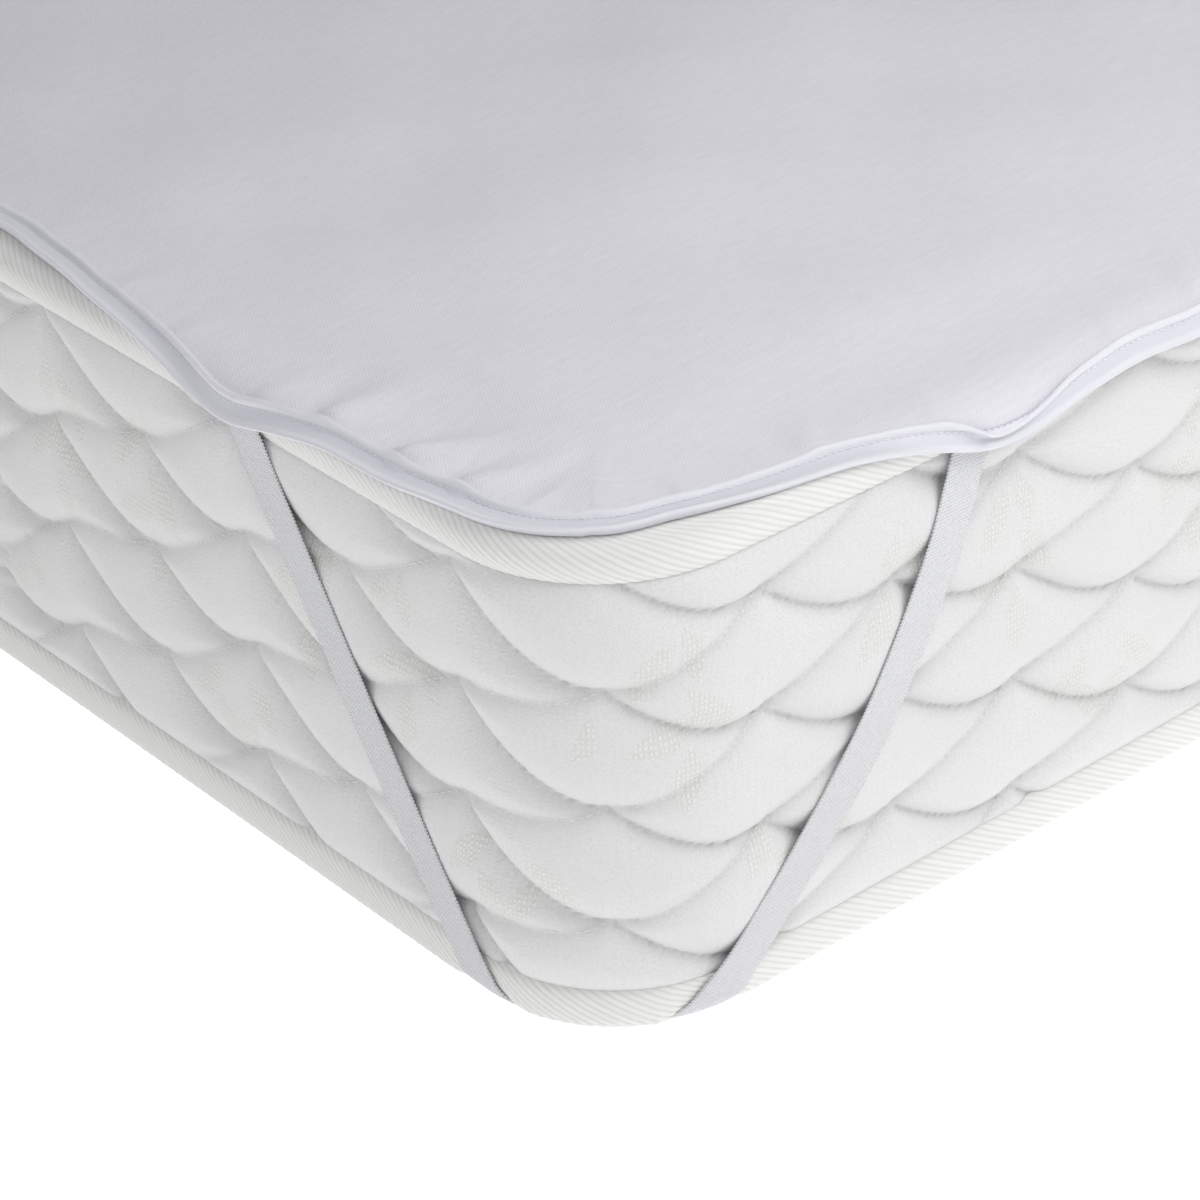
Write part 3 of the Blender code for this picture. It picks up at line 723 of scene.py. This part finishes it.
# Protector sheet: one fine ribbed knit with a waterproof film under it. It lies on the mattress in soft
# waves, turns over the rim, and its edge is gathered a little by the binding and pulled down by the straps.
TURN_START, TURN_REACH, TURN_DROP, TURN_POWER = -18.0, 26.0, 21.0, 3.0
SHEET_TOP = 202.5
SHEET_THICKNESS = 1.2
EDGE_ZONE = 60.0
CUT_BACK = 2.4
EDGE_LINE, NEAR_LINE = 2.4, 3.4
# How far the sheet's fine part reaches from the photographed end and side, and the step of the lines beyond
FINE_FROM_END, FINE_FROM_SIDE = (380.0, 13.0), (330.0, 10.5)
EDGE_SHORT = {
    "distance": (0, 24, 52, 86, 122, 152, 164, 178, 192, 210, 228, 250, 274, 292, 316, 334, 437),
    "drop": (13.5, 16, 18.5, 22.5, 23, 28, 31, 33, 30.5, 26.5, 23.5, 20.5, 18, 15, 13, 10.5, 13),
}
EDGE_LONG = {
    "distance": (0, 12, 24, 38, 54, 70, 106, 122, 140, 154, 166, 188, 206, 240, 272)
    + (420, 560, 720, 870, 987),
    "drop": (13.5, 13, 10.5, 10.5, 14, 17.5, 21.5, 25, 29.5, 34.5, 38.5, 39, 35, 31, 33)
    + (25, 31, 22, 28, 24),
}
# The other corners differ a little from the photographed one, in how far the edge hangs and where. The
# difference fades out towards the middle of a side.
CORNER_FACTOR = np.array([1.0, 0.92, 1.05, 0.88])
CORNER_SHIFT = np.array([0.0, 6.0, -5.0, 4.0])
CORNER_FADE = 120.0
WAVES = {
    "x": (-0.72, -0.80, -0.38, -0.05, 0.22, 0.62, 0.80),
    "y": (-0.20, 0.10, 0.02, -0.22, 0.16, -0.10, 0.20),
    "length": (0.26, 0.20, 0.24, 0.28, 0.26, 0.24, 0.18),
    "width": (0.075, 0.070, 0.080, 0.070, 0.085, 0.075, 0.070),
    "turn": (38, -20, 25, -12, 18, -30, 12),
    "height": (5.6, 4.2, 4.8, 3.8, 5.0, 4.4, 3.6),
}
# Puckers at the edge: distance from a corner's middle, length inwards, width and height in millimetres, and
# how far they lean as they run inwards. They stand up more than they sink: the mattress is under them.
PUCKERS = {
    "distance": (-168, -137, -99, -67, -34, 40, 92, 142, 230, 272, 330, 420, -226, -272, -330),
    "length": (18, 34, 38, 30, 16, 14, 20, 16, 16, 24, 20, 22, 18, 22, 22),
    "width": (7, 9, 10, 9, 6, 6, 7, 6, 7, 8, 7, 9, 7, 8, 9),
    "height": (1.8, 4.6, 5.4, 4.6, 1.2, 1.0, 2.2, 1.7, 1.3, 2.2, 1.2, 1.4, 1.3, 1.5, 1.3),
    "lean": (0.0, -0.19, 0.37, 0.1, 0.1, 0.1, 0.1, 0.0, 0.1, 0.1, 0.0, 0.1, 0.0, 0.1, 0.0),
}
PUCKER_RIDGE, PUCKER_TROUGH, PUCKER_SHIFT = 0.9, 0.3, 1.2
# Distances back from the edge: where the puckers fade in, begin to get lower and wider, and fade out
PUCKER_IN, PUCKER_START, PUCKER_OUT = (7.5, 6.0), 11.0, (66.0, 20.0)
PUCKER_WIDTH, PUCKER_WIDENS = 0.7, 45.0
TURN_ANGLE = np.linspace(0, math.pi / 2, 241)
TURN_OUT = TURN_START + TURN_REACH * np.sin(TURN_ANGLE) ** (2 / TURN_POWER)
TURN_UP = SHEET_TOP - TURN_DROP + TURN_DROP * np.clip(np.cos(TURN_ANGLE), 0, 1) ** (2 / TURN_POWER)
TURN_GONE = np.concatenate([[0], np.cumsum(np.hypot(np.diff(TURN_OUT), np.diff(TURN_UP)))])


def on_turn(length):
    """Out and up, in millimetres, at a length along the cloth's turn over the rim."""
    before = np.minimum(length, 0)
    after = np.maximum(length - TURN_GONE[-1], 0)
    out = np.interp(length, TURN_GONE, TURN_OUT) + before
    return out, np.interp(length, TURN_GONE, TURN_UP) - after


def edge_drop(along):
    """Length along the turn of the binding's lower edge, in millimetres."""
    corner, distance = corner_and_distance(along)
    on_long_side = (corner % 2 == 0) == (distance >= 0)
    half = np.where(on_long_side, LONG_HALF, SHORT_HALF) / MM
    away = np.abs(distance) / MM
    fade = smooth((half - away) / CORNER_FADE)
    place = away + CORNER_SHIFT[corner] * fade * smooth(away / CORNER_FADE)
    drop = np.zeros(away.shape)
    for table, here in ((EDGE_LONG, on_long_side), (EDGE_SHORT, ~on_long_side)):
        beside = [np.abs(place + step) for step in (-8, -4, 0, 4, 8)]
        own = [np.interp(away_too, table["distance"], table["drop"]) for away_too in beside]
        mean = table["drop"][-1]
        varied = mean + (np.mean(own, 0) - mean) * (1 + (CORNER_FACTOR[corner] - 1) * fade)
        drop = np.where(here, varied, drop)
    return drop


# Slight unevenness of the knit as it lies: wavelength in metres, direction in degrees, and height
RIPPLES = (
    (0.085, 20, 0.8),
    (0.062, -35, 0.5),
    (0.11, 75, 1.3),
    (0.145, -70, 1.7),
    (0.048, 48, 0.25),
    (0.20, 5, 1.6),
)
RIPPLE_BEND, RIPPLE_BEND_RATE = 0.4, 9.0
# The waves start this far in from the rim, and are whole a little further in
WAVES_FROM, WAVES_FADE = 0.02, 0.05


def wave_height(x, y):
    """Height of the sheet's soft waves, in metres. They fade out towards the rim."""
    total = np.zeros(np.shape(x))
    for mid_x, mid_y, length, width, turn, height in zip(*WAVES.values()):
        c, s = math.cos(math.radians(turn)), math.sin(math.radians(turn))
        u = ((x - mid_x) * c + (y - mid_y) * s) / length
        v = ((y - mid_y) * c - (x - mid_x) * s) / width
        total = total + height * MM * np.exp(-(u * u + v * v))
    for i, (wavelength, turn, height) in enumerate(RIPPLES):
        forward = x * math.cos(math.radians(turn)) + y * math.sin(math.radians(turn))
        sideways = y * math.cos(math.radians(turn)) - x * math.sin(math.radians(turn))
        bend = RIPPLE_BEND * np.sin(sideways * RIPPLE_BEND_RATE + 2.0 * i)
        ripple = np.sin(2 * math.pi * forward / wavelength + 1.7 * i + 3.0 * bend)
        total = total + height * MM * (ripple + 1.0) * 0.5
    inward = np.minimum(LENGTH / 2 - np.abs(x), WIDTH / 2 - np.abs(y))
    return total * smooth((inward - WAVES_FROM) / WAVES_FADE)


def on_cloth(along, length, lift):
    """Points at a length along the turn, lifted square off the cloth. Millimetres, but for along."""
    out, up = on_turn(length)
    out_before, up_before = on_turn(length - 0.5)
    out_after, up_after = on_turn(length + 0.5)
    slope = np.hypot(out_after - out_before, up_after - up_before)
    out = out - (up_after - up_before) / slope * lift
    up = up + (out_after - out_before) / slope * lift
    points = on_border(along, out * MM, up * MM)
    points[..., 2] += wave_height(points[..., 0], points[..., 1])
    return points


def pucker(along, back):
    """How far the puckers push the cloth out or in, in millimetres, at a distance back from its edge."""
    corner, distance = corner_and_distance(along)
    signed = np.where(corner % 2 == 0, distance, -distance) / MM
    total = np.zeros(np.shape(signed))
    beyond = np.maximum(back - PUCKER_START, 0)
    fade = smooth((back - PUCKER_IN[0]) / PUCKER_IN[1]) * smooth((PUCKER_OUT[0] - back) / PUCKER_OUT[1])
    for middle, length, width, height, lean in zip(*PUCKERS.values()):
        wide = width * (PUCKER_WIDTH + beyond / PUCKER_WIDENS)
        beside = signed - middle - lean * beyond
        fold = PUCKER_RIDGE * np.exp(-(((beside - PUCKER_SHIFT * wide) / wide) ** 2))
        fold = fold - PUCKER_TROUGH * np.exp(-((beside / wide) ** 2))
        total = total + height * fold * np.exp(-((beyond / length) ** 2)) * fade
    return total * CORNER_FACTOR[corner]


# Direction of the knit's ribs, in degrees from +X, and their pitch in millimetres
RIB_TURN, KNIT_RIB_PITCH = 60.0, 1.12


def protector_knit():
    """A pale lilac knit with fine ribs and faint streaks where the yarn is uneven."""
    mat, tree = new_material("protector_knit")
    courses = place_grain(tree, turn=4.0, along=15.0, across=2.2, relief=0.0)
    fuzz = place_grain(tree, turn=RIB_TURN, along=1.3, across=0.6, relief=0.0)
    axes = {"Vector": cloth_place(tree), "Angle": math.radians(90.0 - RIB_TURN)}
    turned = add_node(tree, "ShaderNodeVectorRotate", axes, rotation_type="Z_AXIS").outputs["Vector"]
    # A wave texture of scale 1 repeats every tenth of pi
    wave = {"Scale": math.pi / 10 / (KNIT_RIB_PITCH * MM), "Distortion": 2.5, "Detail Scale": 1.2}
    ribs = add_node(tree, "ShaderNodeTexWave", {"Vector": turned, **wave})
    height = 0.0
    for value, weight in ((ribs.outputs["Fac"], 0.4), (courses["Yarns"], 0.8), (fuzz["Yarns"], 1.0)):
        height = combined(tree, "MULTIPLY_ADD", value, weight, height)
    spread = add_node(tree, "ShaderNodeMapRange", {"Value": height, "From Min": 0.65, "From Max": 1.4})
    color = tinted(tree, spread.outputs["Result"], (0.68, 0.67, 0.725), (0.76, 0.75, 0.80))
    relief = raised(tree, height, distance=0.12)
    shade(tree, {"Base Color": color, "Normal": relief, "Roughness": 0.85, "Sheen Weight": 0.15})
    return mat


def sheet_lines(whole, near_reach, far_step):
    """Lines across the flat sheet in millimetres: fine in the near edge and corner, wider beyond."""
    edge = np.arange(0, EDGE_ZONE, EDGE_LINE)
    near = np.arange(EDGE_ZONE, near_reach, NEAR_LINE)
    far_end = whole - EDGE_ZONE
    far = np.linspace(near_reach, far_end, round((far_end - near_reach) / far_step), endpoint=False)
    last = whole - np.linspace(EDGE_ZONE, 0, 9)
    return np.concatenate([edge, near, far, last])


def drape_sheet():
    """Points of the sheet as it lies, and their places on the flat cloth."""
    lines_x = sheet_lines(LENGTH / MM, *FINE_FROM_END) - LENGTH / MM / 2
    lines_y = sheet_lines(WIDTH / MM, *FINE_FROM_SIDE) - WIDTH / MM / 2
    x, y = np.meshgrid(lines_x, lines_y, indexing="ij")
    from_end = LENGTH / MM / 2 - np.abs(x)
    from_side = WIDTH / MM / 2 - np.abs(y)
    inset = np.minimum(from_end, from_side)
    other = np.maximum(from_end, from_side)
    corner = np.where(y < 0, np.where(x < 0, 0, 1), np.where(x < 0, 3, 2))
    by_side = from_side <= from_end
    sign = np.where(by_side == (corner % 2 == 0), 1.0, -1.0)
    radius, quarter = RADIUS / MM, QUARTER_ARC / MM
    round_corner = quarter * (other - inset) / np.maximum(radius - inset, 1.0)
    distance = np.where(other >= radius, other - radius + quarter, round_corner)
    along = CORNER_AT[corner] + sign * distance * MM
    share = np.clip((EDGE_ZONE - inset) / EDGE_ZONE, 0, 1)
    start = -(EDGE_ZONE + TURN_START)
    end = edge_drop(along) - CUT_BACK
    length = start + (end - start) * share
    points = on_cloth(along, length, pucker(along, end + CUT_BACK - length))
    flat = inset >= EDGE_ZONE
    points[flat, 0] = x[flat] * MM
    points[flat, 1] = y[flat] * MM
    points[flat, 2] = SHEET_TOP * MM + wave_height(x[flat] * MM, y[flat] * MM)
    cloth = np.stack([x, y], -1) * MM
    grow = np.where(flat, 0.0, (length - start) - (EDGE_ZONE - inset)) * MM
    cloth[..., 0] += np.where(by_side, 0.0, np.sign(x) * grow)
    cloth[..., 1] += np.where(by_side, np.sign(y) * grow, 0.0)
    return points, cloth


points, cloth = drape_sheet()
rows, columns = points.shape[:2]
index = np.arange(rows * columns).reshape(rows, columns)
quads = np.stack([index[:-1, :-1], index[1:, :-1], index[1:, 1:], index[:-1, 1:]], -1).reshape(-1, 4)
sheet_mesh = bpy.data.meshes.new("sheet")
sheet_mesh.from_pydata(points.reshape(-1, 3).tolist(), [], quads.tolist())
sheet = cloth_object("sheet", sheet_mesh, cloth.reshape(-1, 2)[quads], protector_knit())
film = sheet.modifiers.new("Thickness", "SOLIDIFY")
film.thickness = SHEET_THICKNESS * MM
film.offset = -1.0
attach(sheet, "root")
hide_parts("protector_sheet")

# Binding: a satin tape folded over the sheet's cut edge. Its upper side is rolled in and stitched down,
# which leaves a round ridge, a groove along the stitches and a flange that flares a little at the fold.
BINDING_SECTION = (
    (10.3, 0.1),
    (10.6, 0.8),
    (10.4, 1.5),
    (9.8, 1.9),
    (9.0, 1.95),
    (8.3, 1.6),
    (7.8, 1.0),
    (7.4, 0.35),
    (6.8, 0.2),
    (5.6, 0.2),
    (4.3, 0.2),
    (3.0, 0.45),
    (1.9, 1.05),
    (1.1, 1.75),
    (0.3, 2.0),
    (-0.2, 1.4),
    (-0.1, 0.2),
    (0.0, -1.0),
    (0.6, -1.9),
    (2.0, -2.3),
    (6.0, -2.4),
    (10.4, -2.4),
    (10.4, -1.9),
    (6.0, -1.8),
    (2.6, -1.6),
    (1.4, -0.9),
    (1.4, 0.0),
    (4.0, 0.05),
)
GROOVE_BACK, GROOVE_LIFT = 7.0, 0.5
BINDING_STITCH_PITCH, BINDING_STITCH = 3.0, (2.2, 0.6, 0.5)
NOTCH_AT = 163.0
NOTCH_DOWN, NOTCH_BEFORE, NOTCH_AFTER, NOTCH_TIP = 5.0, 12.0, 26.0, 6.0
SWELL_UP, SWELL_REACH, SWELL_END = 1.6, 18.0, 3.0
RIDGE_BACK, RIDGE_FADE = 7.2, 1.6
# Small rises and dips of the ridge and the fold: share of their height, length and shift
UNEVEN = ((0.10, 13.0, 0.0), (0.06, 5.3, 1.0))
# How much lighter the satin is painted where it is rolled over: painted highlights on the ridge and the
# fold
RIDGE_HIGHLIGHT, FOLD_HIGHLIGHT = 0.5, 0.4
ROLLED_LIFT, RIDGE_ROLLED, FOLD_ROLLED = 0.5, 7.6, 2.0
SATIN_ROW = 1.5


def satin_tape():
    """Pale lilac satin, with painted highlights where it is rolled over at the ridge and at the fold."""
    mat, tree = new_material("satin_tape")
    threads = place_grain(tree, turn=0.0, along=2.4, across=0.4, relief=0.05)
    # Uneven yarn tone, plus the painted highlights on the rolled ridge and fold
    yarn_tone_and_highlight = combined(tree, "MULTIPLY_ADD", threads["Yarns"], 0.4, marked(tree, "rolled"))
    color = tinted(tree, yarn_tone_and_highlight, (0.65, 0.645, 0.71), (0.82, 0.82, 0.86))
    shade(tree, {"Base Color": color, "Normal": threads["Normal"], "Roughness": 0.45, "Sheen Weight": 0.2})
    return mat


def on_binding(along, back, lift):
    """Points of the binding. Over a strap on a long side its ridge swells and ends in a small fold."""
    corner, distance = corner_and_distance(along)
    signed = np.where(corner % 2 == 0, distance, -distance) / MM
    ridge = smooth((back - RIDGE_BACK) / RIDGE_FADE) * (lift > 0)
    past = signed - NOTCH_AT
    fade = np.where(past < NOTCH_TIP, NOTCH_BEFORE, NOTCH_AFTER)
    notch = np.exp(-(((past - NOTCH_TIP) / fade) ** 2)) * ridge
    swell = np.exp(-((past / SWELL_REACH) ** 2)) * smooth((SWELL_END - past) / SWELL_END) * ridge
    uneven = 1 + sum(share * np.sin(signed / length + shift) for share, length, shift in UNEVEN)
    up = lift * np.where(lift > 0, uneven, 1.0) + SWELL_UP * swell
    drawn = edge_drop(along) - back + NOTCH_DOWN * notch
    return on_cloth(along, drawn, up + pucker(along, back))


across = along_border(2.3 * MM, 6.0 * MM, NEAR_REACH)
rows, cloth, rolled = [], [], []
for i, (back, lift) in enumerate(BINDING_SECTION[::-1]):
    rows.append(on_binding(across, back, lift))
    cloth.append(np.stack([across, np.full(len(across), i * SATIN_ROW * MM)], -1))
    # The rolled mark carries the painted highlights on the ridge and on the fold
    on_ridge = back > RIDGE_ROLLED and lift > ROLLED_LIFT
    on_fold = back < FOLD_ROLLED and lift > ROLLED_LIFT
    rolled.append(np.full(len(across), RIDGE_HIGHLIGHT * on_ridge + FOLD_HIGHLIGHT * on_fold))
binding = band_round(
    "binding",
    np.array(rows),
    satin_tape(),
    np.array(cloth),
    closed_rows=True,
    marks={"rolled": np.array(rolled)},
)
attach(binding, "root")
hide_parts("edge_binding")

stitch_along = np.arange(0, AROUND, AROUND / round(AROUND / MM / BINDING_STITCH_PITCH))


def on_groove(step_along, step_up):
    return on_binding(stitch_along + step_along * MM, GROOVE_BACK + step_up, GROOVE_LIFT)


runs, facings = surface_frames(on_groove, 0.4)
binding_stitches = sew(
    "binding_stitches",
    on_groove(0.0, 0.0),
    runs,
    facings,
    BINDING_STITCH,
    thread_material("binding_thread", (0.80, 0.80, 0.85)),
)
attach(binding_stitches, "root")
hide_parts("edge_binding")

# Corner straps: flat white elastic, woven in fine cross ribs. Each is sewn under the binding on both sides
# of a corner, and is drawn tight down one side, under the corner and up the other side.
RIB_PITCH = 1.35
STRAP_STANDOFF = {"height": (20, 45, 152, 172, 190), "out": (3.9, 4.3, 4.3, 4.2, 3.8)}
STRAP_HEIGHTS = (193, 190, 182, 172, 152, 132, 112, 92, 72, 50, 35, 20)
STRAP_BEND = {"out": (3.6, 3.3, 2.2, 0.2, -3.0), "height": (12.5, 7.5, 4.2, 2.4, 2.0)}
STRAP_UNDER_HEIGHT = 0.9
STRAP_LEAN, STRAP_LEAN_FROM = 0.9, 3.0
STRAP_TURN = 0.026
# A strap reaches less far than this from its corner's middle, along the border
STRAP_REACH = 0.2
RIB_OUT = (0.16, -0.03, -0.03)
TOOTH_OUT = (0.35, -0.15, -0.15)
STRAP_SHARES = np.array((-0.5, -0.46, -0.36, -0.24, -0.12, 0.0, 0.12, 0.24, 0.36, 0.46, 0.5))
STRAP_HALF_THICKNESS = np.array((0.15, 0.34, 0.42, 0.42, 0.42, 0.42, 0.42, 0.42, 0.42, 0.34, 0.15))


def elastic_weave():
    """White elastic: a small loop on each rib, with hollows between the loops that are painted darker as
    shade.
    """
    mat, tree = new_material("elastic")
    gap_depth_and_shade = mapped(tree, cells(tree, 1.3, RIB_PITCH, 0.12), 0.30, 0.72)
    relief = raised(tree, gap_depth_and_shade, distance=0.3, strength=0.8, invert=True)
    # Painted shade: the hollows between the loops are coloured darker
    color = tinted(tree, gap_depth_and_shade, (0.78, 0.78, 0.80), (0.56, 0.56, 0.59))
    shade(tree, {"Base Color": color, "Normal": relief, "Roughness": 0.75})
    return mat


ELASTIC = elastic_weave()


def strap_line(corner):
    """Points of a strap's middle line, down one side, round the rim, under the corner and up again."""
    tables = [STRAP_SHORT, STRAP_LONG]
    if corner % 2 == 1:
        tables.reverse()
    sides = []
    for sign, table in zip((-1, 1), tables):
        heights = np.array(STRAP_HEIGHTS, float)
        distance = np.interp(heights, table["height"], table["distance"])
        out = np.interp(heights, STRAP_STANDOFF["height"], STRAP_STANDOFF["out"])
        rise = table["height"][1] - table["height"][0]
        slope = (table["distance"][1] - table["distance"][0]) / rise
        bend_out, bend_up = np.array(STRAP_BEND["out"]), np.array(STRAP_BEND["height"])
        lean = np.maximum(0.0, STRAP_LEAN_FROM - bend_out) * STRAP_LEAN
        distance = np.concatenate([distance, table["distance"][0] - slope * (heights[-1] - bend_up) - lean])
        out = np.concatenate([out, bend_out])
        heights = np.concatenate([heights, bend_up])
        sides.append(on_border(CORNER_AT[corner] + sign * distance * MM, out * MM, heights * MM))
    down, up_again = sides[0], sides[1][::-1]
    under = np.array([down[-1] + (up_again[0] - down[-1]) * share for share in (0.25, 0.5, 0.75)])
    under[:, 2] = STRAP_UNDER_HEIGHT * MM
    return np.concatenate([down, under, up_again])


def along_line(points, step):
    """Even steps along a smooth curve through points, and its length."""
    padded = np.concatenate([[2 * points[0] - points[1]], points, [2 * points[-1] - points[-2]]])
    t = np.linspace(0, 1, 24, endpoint=False)[:, None]
    fine = []
    for p0, p1, p2, p3 in zip(padded, padded[1:], padded[2:], padded[3:]):
        curve = 2 * p1 + (p2 - p0) * t + (2 * p0 - 5 * p1 + 4 * p2 - p3) * t**2
        fine.append(0.5 * (curve + (3 * p1 - p0 - 3 * p2 + p3) * t**3))
    fine = np.concatenate(fine + [points[-1:]])
    gone = np.concatenate([[0], np.cumsum(np.linalg.norm(np.diff(fine, axis=0), axis=1))])
    wanted = np.linspace(0, gone[-1], round(gone[-1] / step))
    return np.stack([np.interp(wanted, gone, fine[:, i]) for i in range(3)], -1), gone[-1]


def unit(vectors):
    return vectors / np.maximum(np.linalg.norm(vectors, axis=1), 1e-9)[:, None]


def weave_strap(corner):
    """Rows of points along a strap, over its outer face and back over its inner one, and its length."""
    line, length = along_line(strap_line(corner), RIB_PITCH * MM / 3)
    tangent = unit(np.gradient(line, axis=0))
    # The place on the border beside each point, from many places there
    places = CORNER_AT[corner] + np.linspace(-STRAP_REACH, STRAP_REACH, 1601)
    ring, further = on_border(places, 0.0, 0.0), on_border(places, 0.01, 0.0)
    nearest = np.linalg.norm(line[:, None, :2] - ring[None, :, :2], axis=2).argmin(1)
    facing = unit((further - ring)[nearest])
    out = ((line - ring[nearest])[:, :2] * facing[:, :2]).sum(1)
    down = np.array([0.0, 0.0, -1.0])
    level = np.cross(facing, down)
    level *= np.where((level * np.cross(tangent, facing + down)).sum(1) < 0, -1, 1)[:, None]
    sense = np.sign((level * np.gradient(ring, axis=0)[nearest]).sum(1))
    stretch = 1 / np.linalg.norm(np.cross(tangent, level), axis=1)
    # Under the corner the strap lies flat, and its width turns square to the way that it runs there
    lying = line[:, 2] < STRAP_BEND["height"][-1] * 1.06 * MM
    ends = line[lying][[0, -1]]
    away = np.minimum(np.linalg.norm(line - ends[0], axis=1), np.linalg.norm(line - ends[1], axis=1))
    turn = np.where(lying, smooth(away / STRAP_TURN), 0.0)[:, None]
    crossways = unit(level + (unit(np.cross(tangent, down)) - level) * turn)
    square = crossways / np.linalg.norm(np.cross(tangent, crossways), axis=1)[:, None]
    off = unit(np.cross(crossways, tangent))
    off *= np.where((off * (facing + down)).sum(1) < 0, -1, 1)[:, None]
    middle = on_border(places[nearest], out, line[:, 2])
    phase = np.arange(len(line)) % 3
    tooth, rib = np.array(TOOTH_OUT)[phase], np.array(RIB_OUT)[phase]
    rows = []
    for face in (1, -1):
        for share, half in list(zip(STRAP_SHARES, STRAP_HALF_THICKNESS))[::face]:
            width = share * (STRAP_WIDTH + 2 * tooth * (abs(share) > 0.4)) * MM
            bent = on_border(places[nearest] + sense * stretch * width, out, line[:, 2]) - middle
            across = bent * (1 - turn) + square * width[:, None] * turn
            rows.append(line + across + off * (face * (half + rib))[:, None] * MM)
    return np.array(rows), length


def strap_object(corner):
    """A strap as a closed flat tube, with its rows along the strap and its two ends shut."""
    points, length = weave_strap(corner)
    row_count, count = points.shape[:2]
    half = row_count // 2
    index = np.arange(row_count * count).reshape(row_count, count)
    after = np.roll(index, -1, 0)
    quads = np.stack([index[:, :-1], index[:, 1:], after[:, 1:], after[:, :-1]], -1).reshape(-1, 4).tolist()
    for i in range(half - 1):
        j = row_count - 1 - i
        quads.append([index[i, 0], index[i + 1, 0], index[j - 1, 0], index[j, 0]])
        quads.append([index[i, -1], index[j, -1], index[j - 1, -1], index[i + 1, -1]])
    mesh = bpy.data.meshes.new(f"strap_{corner + 1}")
    mesh.from_pydata(points.reshape(-1, 3).tolist(), [], quads)
    faces = bmesh.new()
    faces.from_mesh(mesh)
    bmesh.ops.recalc_face_normals(faces, faces=faces.faces)
    faces.to_mesh(mesh)
    faces.free()
    vertex = np.empty(len(mesh.loops), np.int32)
    mesh.loops.foreach_get("vertex_index", vertex)
    row, step = vertex // count, vertex % count
    sideways = np.concatenate([STRAP_SHARES, STRAP_SHARES[::-1]])[row] * STRAP_WIDTH * MM
    places = np.stack([sideways, step / count * length], -1)
    return cloth_object(f"strap_{corner + 1}", mesh, places, ELASTIC), length


for corner in range(4):
    strap, strap_length = strap_object(corner)
    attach(strap, "root")
    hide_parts(f"corner_strap_{corner + 1}")
